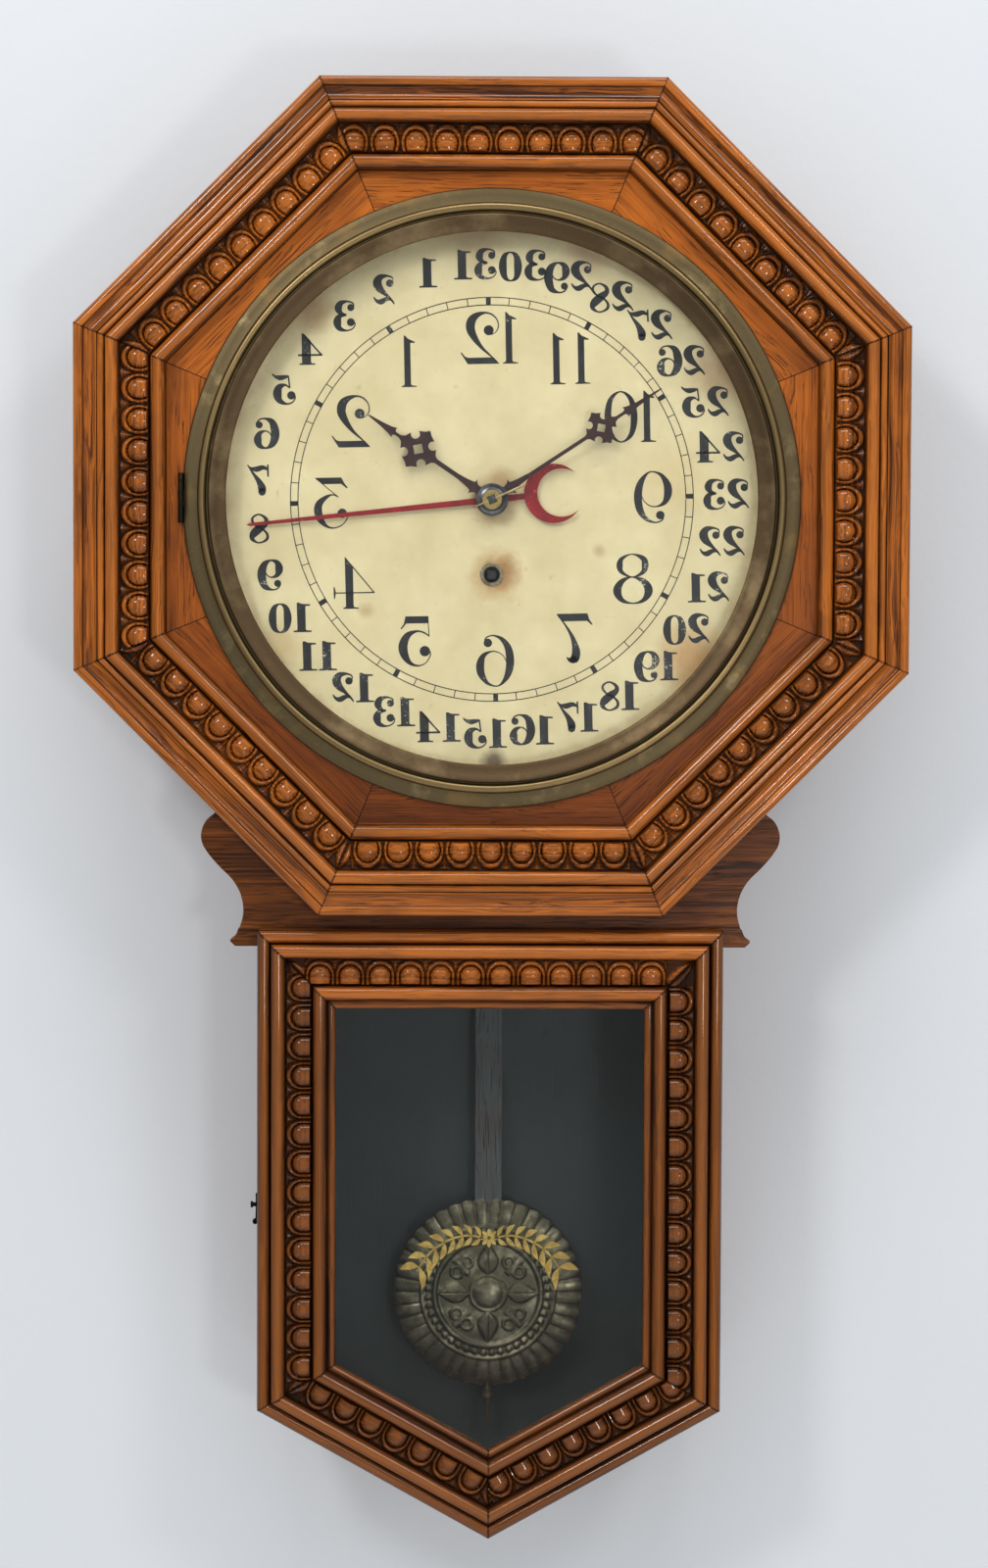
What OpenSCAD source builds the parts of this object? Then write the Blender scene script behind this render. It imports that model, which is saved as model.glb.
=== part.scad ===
// Barbershop wall clock: an octagon drop case with a dial that reads backwards, so that it is right in a mirror.
// Lengths are in millimetres. x points to the viewer's right, z points up and the wall is the plane y = 0.
// Every piece is drawn as seen from the front, with its depth measured out from the wall, and is then turned
// to face the room by facing_room(). The dial's centre lies on the axis x = 0, z = 0.

/* [Case] */
// Outside width of the case box
case_w = 250; // [244:1:256]
// Distance from the octagon's top down to the top of the case box
case_top_in = 46; // [40:1:56]
// Thickness of the side, top and bottom boards
board_t = 10; // [8:0.5:12]
// Thickness of the back board
back_t = 8; // [6:0.5:9]
// Space between the calendar wheel and the front edges of the case
dial_room = 6; // [5.6:0.2:14]

/* [Ear board] */
// Thickness of the board that joins the octagon to the drop
ear_t = 12; // [9:0.5:14]
// Height of the board
ear_h = 75.4; // [70:0.2:82]
// How far the board reaches down behind the door
ear_lap = 10.4; // [8:0.2:13]
// How far each ear stands out past the door at its widest
ear_out = 32.7; // [26:0.1:40]
// How far the narrow waist stands out past the door
waist_out = 8.8; // [4:0.1:12]
// How far the lower tips stand out past the door
tip_out = 16.3; // [13:0.1:20]

/* [Octagon] */
// Width of flat panel that shows between the bezel and the moulding
panel_show = 8.7; // [8:0.1:16]
// Thickness of the eight flat panel boards
panel_t = 12; // [11:0.5:14]
// Width of the moulding from its outer face to the panel
moulding_w = 50.8; // [50:0.2:54]
// Height of the roll, the highest part of the moulding, above the panel
roll_h = 17; // [15:0.5:19]
// Radius of the roll
roll_r = 3.5; // [3:0.1:3.8]
// Radius of the inner bead
bead_r = 4; // [3.4:0.1:4.4]
// Number of eggs along one side
eggs_per_side = 9; // [7:1:9]
// Distance from egg to egg
egg_pitch = 17.1; // [15:0.1:17.4]
// Radius of an egg where it meets the ground of the band
egg_r = 5.1; // [4:0.1:5.4]
// Height of an egg above the ground of the band
egg_h = 3; // [2:0.1:3.6]

/* [Door] */
// How far the door stands out past each side of the case
door_lap = 5; // [4.5:0.1:5.5]
// Gap between the octagon and the door
door_gap = 9; // [7:0.5:12]
// Distance from the middle of the bob down to the door's two lower corners
below_bob = 50.4; // [46:0.2:56]
// Height of the door's pointed end
door_tip_h = 72.7; // [65:0.1:84]
// Width of the door's rails
rail_w = 43.8; // [42.5:0.1:46]
// Height of the door's rolls above the back of the door
door_t = 20.3; // [19:0.1:22]
// Thickness of the glass in the door and in the bezel
glass_t = 2; // [1.6:0.1:2.2]
// Distance from egg to egg on the door
door_egg_pitch = 16.6; // [15:0.1:17]
// Distance from each end of the door's side to the middle of a hinge
hinge_in = 45; // [38:1:60]
// Height of each hinge
hinge_h = 24; // [18:1:30]
// Thickness of a hinge leaf
leaf_t = 0.7; // [0.5:0.05:0.7]
// Radius of a hinge barrel
barrel_r = 1.4; // [1.3:0.05:1.5]
// Radius of a hinge pin
hinge_pin_r = 0.7; // [0.5:0.05:0.8]

/* [Door hook] */
// Drop from the door's top edge to the hook's pivot screw
hook_in = 140.5; // [120:0.5:160]
// Drop from the hook's pivot screw to the pin that catches the hook
catch_fall = 14.5; // [12.5:0.5:16.5]
// Distance from the hook's pivot forward to the catch pin
catch_forward = 20; // [19:0.5:21]
// Distance from the hook's eye to the bend that takes its end outside the door
hook_jog = 13.5; // [12.5:0.5:14]
// Thickness of the hook
hook_t = 1.8; // [1.4:0.1:2]
// Radius of the catch pin in the door's edge
catch_r = 1.2; // [0.9:0.1:1.4]

/* [Dial and bezel] */
// Radius of the painted face inside its raised rim
dial_r = 150; // [149:0.5:152]
// Thickness of the dial's sheet
dial_t = 1; // [0.8:0.1:1.2]
// Radius of the winding hole
winding_hole_r = 5.4; // [5:0.1:6]
// Drop from the hands' centre to the winding hole
winding_drop = 41.6; // [41:0.1:42.2]
// How far the bezel's lip covers the dial's rim
lip_lap = 2.7; // [2:0.1:5]
// Width of the bezel from its lip to its outer edge
bezel_w = 24.2; // [22:0.1:28]
// Radius of the bead round the bezel
bezel_bead_r = 2.3; // [1.8:0.1:2.5]
// Height of the bezel's hinge
bezel_hinge_h = 27.5; // [22:0.5:32]

/* [Hands] */
// Length of the hour hand from the centre
hour_len = 83.1; // [78:0.1:86]
// Length of the minute hand from the centre
minute_len = 112.3; // [106:0.1:116]
// Length of the calendar hand from the centre
calendar_len = 137.5; // [130:0.5:142]
// Thickness of the hands
hand_t = 0.8; // [0.6:0.1:1]
// Angle of the hour hand from the top, anticlockwise
hour_angle = 55.9; // [0:0.1:360]
// Angle of the minute hand from the top, anticlockwise
minute_angle = -56.6; // [-180:0.1:180]
// Angle of the calendar hand from the top, anticlockwise
calendar_angle = 96.1; // [0:0.1:360]
// Distance from one hand to the next
hand_step = 2.5; // [2.4:0.1:2.6]
// Radius of the crescent on the calendar hand's tail
crescent_r = 16.5; // [13:0.1:18]
// Distance from the centre to the middle of the crescent
crescent_out = 34.6; // [32:0.1:40]

/* [Pendulum] */
// Depth of the pendulum's middle plane from the wall
pendulum_depth = 22; // [21:0.5:24]
// Space behind the movement for the crutch
crutch_room = 14; // [13:0.5:18]
// Distance from the suspension to the bob's centre
pendulum_len = 506; // [490:1:520]
// Radius of the bob
bob_r = 55.7; // [50:0.1:60]
// Thickness of the bob at its middle
bob_t = 16; // [14:0.5:18]
// Width of the wooden rod
rod_w = 15.4; // [13:0.1:17]
// Thickness of the wooden rod
rod_t = 5; // [4:0.5:6]
// Radius of the rating screw
rating_screw_r = 1.6; // [1.2:0.1:1.8]

/* [Movement] */
// Thickness of the two plates
plate_t = 2; // [1.6:0.1:2.2]
// Space between the plates
plate_gap = 28; // [27.6:0.1:29]
// Height of the pendulum's suspension above the centre
suspension_z = 46; // [45.5:0.1:47]
// Height of the escape wheel above the centre
escape_z = 27; // [26.9:0.1:27.4]
// Radius of the escape wheel
escape_r = 15.2; // [14:0.1:15.4]
// Radius of the arbors
arbor_r = 1.2; // [1:0.05:1.3]
// Thickness of the wheels
wheel_t = 1.2; // [1:0.1:1.4]
// Outer radius of the mainspring
spring_r = 20; // [17:0.5:20.5]
// Number of turns of the mainspring
spring_turns = 8; // [6:1:9]

/* [Hanging] */
// Radius of the hole that hangs on the wall screw
hang_r = 5; // [4:0.1:6]
// Height of the hanging hole above the top of the case box
hang_up = 15; // [12:0.5:24]
// Thickness of the hanger plate
hanger_t = 2; // [1.5:0.1:2.5]
// Width of the hanger plate
hanger_w = 30; // [24:1:40]
// Length of the hanger plate below the top of the case box
hanger_in = 45; // [42:1:60]

/* [Fits] */
// Radial clearance of a shaft in its hole
running_fit = 0.05; // [0.03:0.01:0.08]
// Radial clearance of a fixed pin or screw in its hole
fixed_fit = 0.03; // [0.02:0.01:0.05]
// Gap between pieces that pass each other
gap = 0.4; // [0.3:0.05:0.5]

/* [Hidden] */

$fn = 64;

// Colours
oak = "#9c5a26";
oak_red = "#8a4a22";
pine = "#b98a55";
brass = "#a8935a";
steel = "#5b5f66";
black_iron = "#1c1c1e";
cream = "#ded0a0";
dark_brown = "#3a2a26";
red = "#8e1c22";
smoke = [0.2, 0.25, 0.27, 0.4];
clear_glass = [0.8, 0.9, 0.9, 0.25];

// Dial, bezel and octagon, each outside the one before
lip_r = dial_r - lip_lap;
bezel_r = lip_r + bezel_w;
moulding_in = bezel_r + panel_show;
apothem = moulding_in + moulding_w;
octagon_w = 2 * apothem;

// Case and door: the drop's boards follow the door's outline, a little inside it
door_w = case_w + 2 * door_lap;
door_top = apothem + door_gap;
door_corner = pendulum_len - suspension_z + below_bob;
door_point = door_corner + door_tip_h;
drop_slope = atan2(door_tip_h, door_w / 2);
case_inset = door_lap;
case_top = apothem - case_top_in;
ear_low = door_top + ear_lap;
ear_top = ear_low - ear_h;
case_half = case_w / 2;
inner_half = case_half - board_t;

// Height of a line parallel to the drop's sloping bottom, inset from the door's outline, at a distance x from the middle
function drop_z(inset, x) = -door_point + inset / cos(drop_slope) + abs(x) * tan(drop_slope);
// Corners of the door's outline moved in by an inset: top left, top right, lower right, point, lower left
function door_points(inset) = let (h = door_w / 2 - inset)
    [[-h, -door_top - inset], [h, -door_top - inset], [h, drop_z(inset, h)], [0, drop_z(inset, 0)],
     [-h, drop_z(inset, h)]];
function polar(r, a) = [r * cos(a), r * sin(a)];
// A point at an angle measured anticlockwise from the top of the dial
function dial_polar(r, a) = polar(r, a + 90);
function arc(c, r, a0, a1, steps) = [for (i = [0 : steps]) c + polar(r, a0 + (a1 - a0) * i / steps)];
// The point that lies at distance ra from a and rb from b, on the chosen side of the line from a to b
function meet(a, ra, b, rb, side) = let (d = norm(b - a), u = (b - a) / d, p = (ra * ra - rb * rb + d * d) / (2 * d))
    a + p * u + side * sqrt(ra * ra - p * p) * [-u[1], u[0]];
function direction(from, to) = atan2(to[1] - from[1], to[0] - from[0]);

// Depths from the wall, from the pendulum out to the case's front edges
back_plate_d = pendulum_depth + crutch_room;
back_front = back_plate_d + plate_t;
front_back = back_front + plate_gap;
front_plate_d = front_back;
front_front = front_plate_d + plate_t;
layer = 6;
cannon_d = front_front + 4.6;
hour_wheel_d = cannon_d + layer;
day_d = hour_wheel_d + layer;
calendar_wheel_d = day_d + layer - 0.6;
case_depth = calendar_wheel_d + dial_room;

// Octagon
panel_front = case_depth + panel_t;
// The panels run under the moulding, which wraps their outer edges with a strip of this width
edge_strip = 5;
roll_top = panel_front + roll_h;
// The roll's middle, the two edges of the egg band and the bead's middle, measured in from the outer face
roll_in = 21.5;
band_out = 25.4;
band_in = moulding_w - 2 * bead_r - 1.4;
bead_in = moulding_w - bead_r - 0.6;
band_ground = panel_front + 8;
// The dial's opening: a wide front part for the dial's flange and a narrow back part for its dish
opening_r = dial_r + 13;
flange_r = opening_r - 1;
dish_hole_r = dial_r + dial_t + gap;
step_t = 2.2;
dial_seat = case_depth + step_t;
dish_depth = step_t - 0.6;
dial_face = dial_seat + dial_t - dish_depth;
dial_screw_r = opening_r - 3.3;

// Door
hinge_drops = [door_top + hinge_in, door_corner - hinge_in];
hook_drop = door_top + hook_in;
catch_drop = hook_drop + catch_fall;
hinge_gap = 0.1;
door_back = case_depth + 2 * leaf_t + hinge_gap;
door_front = door_back + door_t;
hinge_axis = [door_w / 2 - 0.4, case_depth + leaf_t + hinge_gap / 2];
glass_seat = door_back + 8.5;
rebate_w = 36.6;
sight_lip = 3;

// Bezel
bezel_back = panel_front + gap;
bezel_hinge_axis = [-bezel_r - 0.9, panel_front + 2];
bezel_barrel_r = 1.5;
bezel_glass_back = bezel_back + 1.6;
bezel_glass_r = lip_r + 4.8;
bezel_lip = bezel_glass_back + glass_t;
bezel_wall_r = bezel_glass_r + 0.2;
bezel_skirt_r = bezel_wall_r + 4.2;

// Hands, from the dial outwards
calendar_d = dial_face + 2;
hour_d = calendar_d + hand_step;
minute_d = hour_d + hand_step;
washer_d = minute_d + hand_t;
washer_t = 1;
pin_r = 0.7;
pin_len = 31;
pin_angle = 42;
arbor_end = washer_d + washer_t + 2 * pin_r + 0.8;

// Movement, from the back plate outwards
shoulder = 0.3;
main_d = back_front + 3;
escape_d = back_front + 4.7;
second_d = back_front + 8.6;
third_d = back_front + 15.6;
centre_d = front_back - 3.4;
spring_d = [back_front + 8.2, front_back - 6.2];

// Tooth counts and modules of the train and of the motion work
main_teeth = 80;
second_pins = 10;
main_module = 0.9;
second_teeth = 40;
centre_pins = 20;
second_module = 0.9;
centre_teeth = 56;
third_pins = 8;
centre_module = 0.85;
third_teeth = 80;
escape_pins = 8;
third_module = 0.6;
escape_teeth = 36;
cannon_pins = 14;
minute_teeth = 42;
cannon_module = 0.8;
minute_pins = 10;
hour_teeth = 40;
hour_pins = 16;
day_teeth = 32;
day_module = 0.9;
calendar_teeth = 31;
calendar_r = 15;
mesh_play = 0.05;

// Distance between the middles of a wheel and the pinion that it drives
function centres(teeth, pins, m) = (teeth + pins) * m / 2 + mesh_play;
middle = [0, 0];
main_at = [0, -winding_drop];
escape_at = [0, escape_z];
verge_at = [0, suspension_z];
second_at = meet(main_at, centres(main_teeth, second_pins, main_module),
    middle, centres(second_teeth, centre_pins, second_module), -1);
third_at = meet(middle, centres(centre_teeth, third_pins, centre_module),
    escape_at, centres(third_teeth, escape_pins, third_module), 1);
minute_at = [-centres(minute_teeth, cannon_pins, cannon_module), 0];
minute_module = 2 * (norm(minute_at) - mesh_play) / (hour_teeth + minute_pins);
day_at = [centres(day_teeth, hour_pins, day_module), 0];

// Pipes of the three hands, one over the other
minute_r = 3;
hour_in = minute_r + running_fit;
hour_r = 4;
calendar_in = hour_r + running_fit;
calendar_pipe_r = 5;
pipe_step = 0.4;
centre_r = 1.5;
square_w = 4;

// Frame of the movement
plate_half = 50;
ear_half = 60;
plate_low = -88;
plate_high = 62;
pillar_r = 3.5;
pillar_x = 44;
pillar_z = [56, -82];
cleat_w = 14;
movement_screw_x = 54;
movement_screw_z = [40, -66];

// Pendulum
bob_z = suspension_z - pendulum_len;
rod_top = 12;
rod_low = bob_z - 10;
nut_r = 3.8;
nut_h = 6;
screw_low = bob_z - bob_r - 20;
swing_clear = 0.3;

// Screws
screw_r = 1.5;
screw_head_r = 3;
screw_head_h = 1.4;
dial_screw_head_r = 2;

// Turns a piece drawn in the front view to face the room
module facing_room() {
    rotate([90, 0, 0]) children();
}

// A flat outline, extruded between two depths
module slab(d0, d1) {
    translate([0, 0, d0]) linear_extrude(d1 - d0) children();
}

// A round bar standing out from the wall
module bar(at, r, d0, d1) {
    translate([at[0], at[1], d0]) cylinder(h = d1 - d0, r = r);
}

// A round-headed screw, its head's underside at depth d
module screw(at, d, len, r, head_r, head_h) {
    bar(at, r, d - len, d);
    bar(at, head_r, d, d + head_h);
}

// A moulding's section, given as [height in the front view, depth], run along x
module run_along(len) {
    rotate([90, 0, 90]) linear_extrude(len, center = true) children();
}

// Case

// The cut that lets the ear board into the front edges of the case
module ear_notch() {
    slab(case_depth - ear_t, case_depth + 1)
        translate([-case_w, -ear_low]) square([2 * case_w, ear_h]);
}

module side_board(side) {
    difference() {
        slab(0, case_depth)
            polygon([[side * case_half, case_top - board_t], [side * inner_half, case_top - board_t],
                [side * inner_half, drop_z(case_inset + board_t, inner_half)],
                [side * case_half, drop_z(case_inset, case_half)]]);
        ear_notch();
        children();
    }
}

module bottom_board(side) {
    slab(0, case_depth)
        polygon([[side * case_half, drop_z(case_inset, case_half)],
            [side * inner_half, drop_z(case_inset + board_t, inner_half)],
            [0, drop_z(case_inset + board_t, 0)], [0, drop_z(case_inset, 0)]]);
}

module hanger_recess() {
    slab(-1, hanger_t)
        translate([-hanger_w / 2, hanger_low]) square([hanger_w, case_top - hanger_low + 1]);
}

hang_z = case_top + hang_up;
hanger_low = case_top - hanger_in;
hanger_high = hang_z + hang_r + 9;
hanger_screw_z = [case_top - hanger_in * 0.4, case_top - hanger_in * 0.8];

module case_top() {
    color(pine) facing_room() difference() {
        slab(0, case_depth)
            translate([-case_half, case_top - board_t]) square([case_w, board_t]);
        hanger_recess();
    }
}

module case_side_left() {
    color(oak) facing_room() side_board(-1) {
        // Hole of the hook's pivot screw
        translate([-case_half - 1, -hook_drop, hook_d]) rotate([0, 90, 0])
            cylinder(h = 1 + board_t / 2 + fixed_fit, r = screw_r + fixed_fit);
    }
}

module case_side_right() {
    color(oak) facing_room() side_board(1);
}

module case_bottom_left() {
    color(oak) facing_room() bottom_board(-1);
}

module case_bottom_right() {
    color(oak) facing_room() bottom_board(1);
}

module backboard() {
    color(pine) facing_room() difference() {
        slab(0, back_t)
            polygon([[-inner_half, case_top - board_t], [inner_half, case_top - board_t],
                [inner_half, drop_z(case_inset + board_t, inner_half)],
                [0, drop_z(case_inset + board_t, 0)],
                [-inner_half, drop_z(case_inset + board_t, inner_half)]]);
        hanger_recess();
        for (z = hanger_screw_z) bar([0, z], screw_r + fixed_fit, -1, back_t - 1);
        for (s = [-1, 1], z = movement_screw_z)
            bar([s * movement_screw_x, z], screw_r + fixed_fit, back_t - 3, back_t + 1);
    }
}

// One side of the ear board, from the edge under the octagon down to the lower tip
function ear_side(s) = let (edge = door_w / 2, waist = edge + waist_out, tip = edge + tip_out, ear = edge + ear_out)
    [for (p = [[ear - 6.3, -ear_top], [ear, -ear_top - 13.7], [ear - 5.5, -ear_top - 24.5],
        [waist + 10.2, -ear_low + 42.4], [waist + 3.2, -ear_low + 33], [waist, -ear_low + 24.4],
        [waist + 0.9, -ear_low + 14.4], [tip - 3, -ear_low + 6], [tip, -ear_low + 3.1], [tip - 2.9, -ear_low]])
        [s * p[0], p[1]]];

module ear_board() {
    right = ear_side(1);
    left = ear_side(-1);
    color(oak) facing_room()
        slab(case_depth - ear_t, case_depth)
            polygon(concat(right, [for (i = [len(left) - 1 : -1 : 0]) left[i]]));
}

module hanger_plate() {
    color(steel) facing_room() difference() {
        slab(0, hanger_t)
            translate([-hanger_w / 2, hanger_low]) square([hanger_w, hanger_high - hanger_low]);
        bar([0, hang_z], hang_r, -1, hanger_t + 1);
        for (z = hanger_screw_z) bar([0, z], screw_r + fixed_fit, -1, hanger_t + 1);
    }
}

// All the case's wood screws: hanger plate, movement, dial and the hook's pivot
module wood_screws() {
    color(steel) facing_room() {
        for (z = hanger_screw_z)
            bar([0, z], screw_r, 0, back_t - 1.5);
        for (s = [-1, 1], z = movement_screw_z)
            screw([s * movement_screw_x, z], back_front, back_front - back_t + 2, screw_r,
                screw_head_r, screw_head_h);
        for (a = [45 : 90 : 315])
            screw(polar(dial_screw_r, a), dial_seat + dial_t, dial_t + step_t - 0.4, screw_r / 2,
                dial_screw_head_r, screw_head_h);
        hook_pivot();
    }
}

// Octagon: eight panel boards and eight lengths of carved moulding, mitred at the corners

mitre_gap = 0.04;

module octagon_wedge(r) {
    half = 180 / 8;
    slab(0, case_depth * 2)
        translate([0, mitre_gap / sin(half)]) polygon([[0, 0], [-r * tan(half), r], [r * tan(half), r]]);
}

module octagon_panels() {
    color(oak_red) facing_room()
        for (i = [0 : 7]) rotate([0, 0, 45 * i]) difference() {
            intersection() {
                slab(case_depth, panel_front)
                    translate([-apothem, 0]) square([2 * apothem, apothem - edge_strip]);
                octagon_wedge(apothem);
            }
            bar([0, 0], dish_hole_r, 0, panel_front + 1);
            bar([0, 0], opening_r, dial_seat, panel_front + 1);
            // Screw holes of the dial's flange, on the four diagonals
            if (i % 2 == 1)
                bar(polar(dial_screw_r, 90), screw_r / 2 + fixed_fit, case_depth + 0.2, panel_front);
            // Mortise of the bezel's hinge plate, on the left
            if (i == 2)
                rotate([0, 0, -90])
                    slab(panel_front - bezel_leaf_t - fixed_fit, panel_front + 1)
                        translate([-bezel_r - 2.6, -bezel_hinge_h / 2 - fixed_fit])
                            square([bezel_leaf_w + 2.6 + fixed_fit, bezel_hinge_h + 2 * fixed_fit]);
        }
}

bezel_leaf_t = 0.8;
bezel_leaf_w = 9;

// Section of the octagon's moulding: an edge strip, a hollow, a small quirk bead, the roll, the egg band and a bead
module moulding_section() {
    strip_top = roll_top - 4;
    polygon(concat(
        [[apothem - edge_strip, case_depth], [apothem, case_depth], [apothem, strip_top - 2.5],
         [apothem - 1.2, strip_top - 0.8], [apothem - edge_strip + 0.4, strip_top]],
        arc([apothem - 9.6, strip_top + 3.2], 5.2, 322, 232, 6),
        [[apothem - 13.2, strip_top + 0.6], [apothem - 15.2, strip_top + 1.4], [apothem - 17.2, strip_top + 0.4],
         [apothem - 17.8, roll_top - 6]],
        [[apothem - roll_in + roll_r * 0.94, roll_top - roll_r - 1.2]],
        arc([apothem - roll_in, roll_top - roll_r], roll_r, 0, 180, 10),
        [[apothem - roll_in - roll_r, band_ground - 1], [apothem - band_out, band_ground - 1],
         [apothem - band_out, band_ground], [apothem - band_in, band_ground - 1.5],
         [apothem - band_in, band_ground - 4]],
        [[apothem - bead_in + bead_r, band_ground - 4]],
        arc([apothem - bead_in, panel_front + 6], bead_r, 0, 180, 10),
        [[apothem - bead_in - bead_r, panel_front + 2], [moulding_in, panel_front + 2], [moulding_in, panel_front],
         [apothem - edge_strip, panel_front]]));
}

// An egg: the cap of a ball that meets the ground in a circle
module egg(at, r, h, ground) {
    ball = (r * r + h * h) / (2 * h);
    translate([at[0], at[1], ground + h - ball]) difference() {
        sphere(r = ball);
        translate([-ball * 2, -ball * 2, -ball * 2]) cube([ball * 4, ball * 4, ball * 3 - h - 0.8]);
    }
}

module octagon_mouldings() {
    color(oak) facing_room()
        for (i = [0 : 7]) rotate([0, 0, 45 * i]) {
            intersection() {
                run_along(octagon_w) moulding_section();
                octagon_wedge(apothem * 1.2);
            }
            for (k = [0 : eggs_per_side - 1])
                egg([(k - (eggs_per_side - 1) / 2) * egg_pitch, apothem - (band_out + band_in) / 2 - 0.6],
                    egg_r, egg_h, band_ground - 0.75);
        }
}

// Door: five mitred rails round a glass held by strips, on two hinges at the right

// Section of a rail, measured in from the door's outer edge
module rail_section() {
    roll = door_front;
    polygon(concat(
        [[0, door_back], [0, roll - 8.5]],
        arc([-3.8, roll - 7.2], 3.5, 0, 180, 8),
        [[-7.5, roll - 8.6], [-8, roll - 8.6]],
        arc([-11.8, roll - 3.8], 3.8, 0, 180, 8),
        [[-15.8, roll - 8], [-16.2, roll - 7.4], [-rail_w + 13.2, roll - 8.4], [-rail_w + 12.6, roll - 9.4]],
        arc([-rail_w + 8.6, roll - 4.6], 3.6, 0, 180, 8),
        [[-rail_w + 4.8, roll - 8.6], [-rail_w + sight_lip + 1.2, roll - 7.6], [-rail_w, roll - 9.4],
         [-rail_w, glass_seat + glass_t], [-rebate_w, glass_seat + glass_t], [-rebate_w, door_back]]));
}

// One rail between the corners numbered a and b of the door's outline, its eggs spread along its middle
module door_rail(a, b, eggs) {
    outer = door_points(0);
    inner = door_points(rail_w);
    mid = (outer[a] + outer[b]) / 2;
    turn = direction(outer[b], outer[a]) - 180;
    difference() {
        union() {
            intersection() {
                translate([mid[0], mid[1], 0]) rotate([0, 0, turn])
                    run_along(norm(outer[b] - outer[a]) + 2) rail_section();
                slab(0, door_front * 2) polygon([outer[a], outer[b], inner[b], inner[a]]);
            }
            translate([mid[0], mid[1], 0]) rotate([0, 0, turn])
                for (k = [0 : eggs - 1])
                    egg([(k - (eggs - 1) / 2) * door_egg_pitch, -23.8], egg_r - 0.2, egg_h, door_front - 8);
        }
        children();
    }
}

module door_rail_top() {
    color(oak) facing_room() door_rail(0, 1, 11);
}

module door_stile_right() {
    color(oak) facing_room() door_rail(1, 2, 13) {
        for (z = hinge_drops)
            slab(door_back - 1, hinge_axis[1] + barrel_r + gap)
                translate([hinge_axis[0] - barrel_r - gap, -z - hinge_h / 2 - gap])
                    square([barrel_r * 2 + 2 * gap, hinge_h + 2 * gap]);
    }
}

module door_rail_bottom_right() {
    color(oak) facing_room() door_rail(2, 3, 6);
}

module door_rail_bottom_left() {
    color(oak) facing_room() door_rail(3, 4, 6);
}

module door_stile_left() {
    color(oak) facing_room() door_rail(4, 0, 13) {
        translate([-door_w / 2 - 1, -catch_drop, catch_d]) rotate([0, 90, 0])
            cylinder(h = catch_in + 1 + fixed_fit, r = catch_r + fixed_fit);
    }
}

module door_glass() {
    color(smoke) facing_room()
        slab(glass_seat, glass_seat + glass_t) polygon(door_points(rebate_w + 0.2));
}

module door_glazing_strips() {
    outer = door_points(rebate_w + 0.2);
    inner = door_points(rail_w - 0.6);
    color(oak_red) facing_room()
        for (i = [0 : 4]) let (j = (i + 1) % 5)
            slab(door_back + 3, glass_seat) polygon([outer[i], outer[j], inner[j], inner[i]]);
}

// Hinges: the case's leaf has the two outer barrels, the door's leaf the middle one
barrel_gap = 0.25;
middle_barrel = hinge_h / 3;
door_leaf_w = 14;
case_leaf_w = hinge_axis[0] - inner_half - 1;

module barrel(axis, r, z0, z1) {
    translate([axis[0], z1, axis[1]]) rotate([90, 0, 0]) cylinder(h = z1 - z0, r = r);
}

module case_hinge_leaves() {
    color(brass) facing_room()
        for (drop = hinge_drops) difference() {
            union() {
                slab(case_depth, case_depth + leaf_t)
                    translate([hinge_axis[0] - case_leaf_w, -drop - hinge_h / 2]) square([case_leaf_w, hinge_h]);
                barrel(hinge_axis, barrel_r, -drop - hinge_h / 2, -drop + hinge_h / 2);
            }
            slab(case_depth - 2, case_depth + 4)
                translate([hinge_axis[0] - barrel_r - gap, -drop - middle_barrel / 2 - barrel_gap])
                    square([2 * barrel_r + 2 * gap, middle_barrel + 2 * barrel_gap]);
            barrel(hinge_axis, hinge_pin_r + fixed_fit, -drop - hinge_h, -drop + hinge_h);
        }
}

module door_hinge_leaves() {
    color(brass) facing_room()
        for (drop = hinge_drops) difference() {
            union() {
                difference() {
                    slab(door_back - leaf_t, door_back)
                        translate([hinge_axis[0] - door_leaf_w, -drop - hinge_h / 2]) square([door_leaf_w, hinge_h]);
                    for (s = [-1, 1])
                        slab(case_depth, door_back + 1)
                            translate([hinge_axis[0] - barrel_r - gap,
                                -drop + s * (middle_barrel / 2 + hinge_h / 2) - hinge_h / 2])
                                square([2 * barrel_r + 2 * gap, hinge_h]);
                }
                barrel(hinge_axis, barrel_r, -drop - middle_barrel / 2, -drop + middle_barrel / 2);
            }
            barrel(hinge_axis, hinge_pin_r + running_fit, -drop - hinge_h, -drop + hinge_h);
        }
}

module hinge_pins() {
    color(brass) facing_room() {
        for (drop = hinge_drops)
            barrel(hinge_axis, hinge_pin_r, -drop - hinge_h / 2, -drop + hinge_h / 2);
        barrel(bezel_hinge_axis, hinge_pin_r, -bezel_hinge_h / 2, bezel_hinge_h / 2);
    }
}

// Hook on the case's left side, hanging open from its screw, and the pin that it drops over in the door's edge
hook_d = case_depth - 12;
catch_d = hook_d + catch_forward;
hook_reach = norm([catch_forward, catch_fall]);
hook_x = -case_half - gap;
hook_w = 4;
hook_eye_r = 3.6;
hook_tail_x = -door_w / 2 - gap;
hook_tip = 3.8;
catch_in = 8;
catch_head = 1.2;

module catch_pin() {
    out = gap + hook_t + gap;
    color(brass) facing_room() translate([-door_w / 2 - out, -catch_drop, catch_d]) rotate([0, 90, 0]) {
        cylinder(h = out + catch_in, r = catch_r);
        translate([0, 0, -catch_head]) cylinder(h = catch_head, r = catch_r + 0.6);
    }
}

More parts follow.
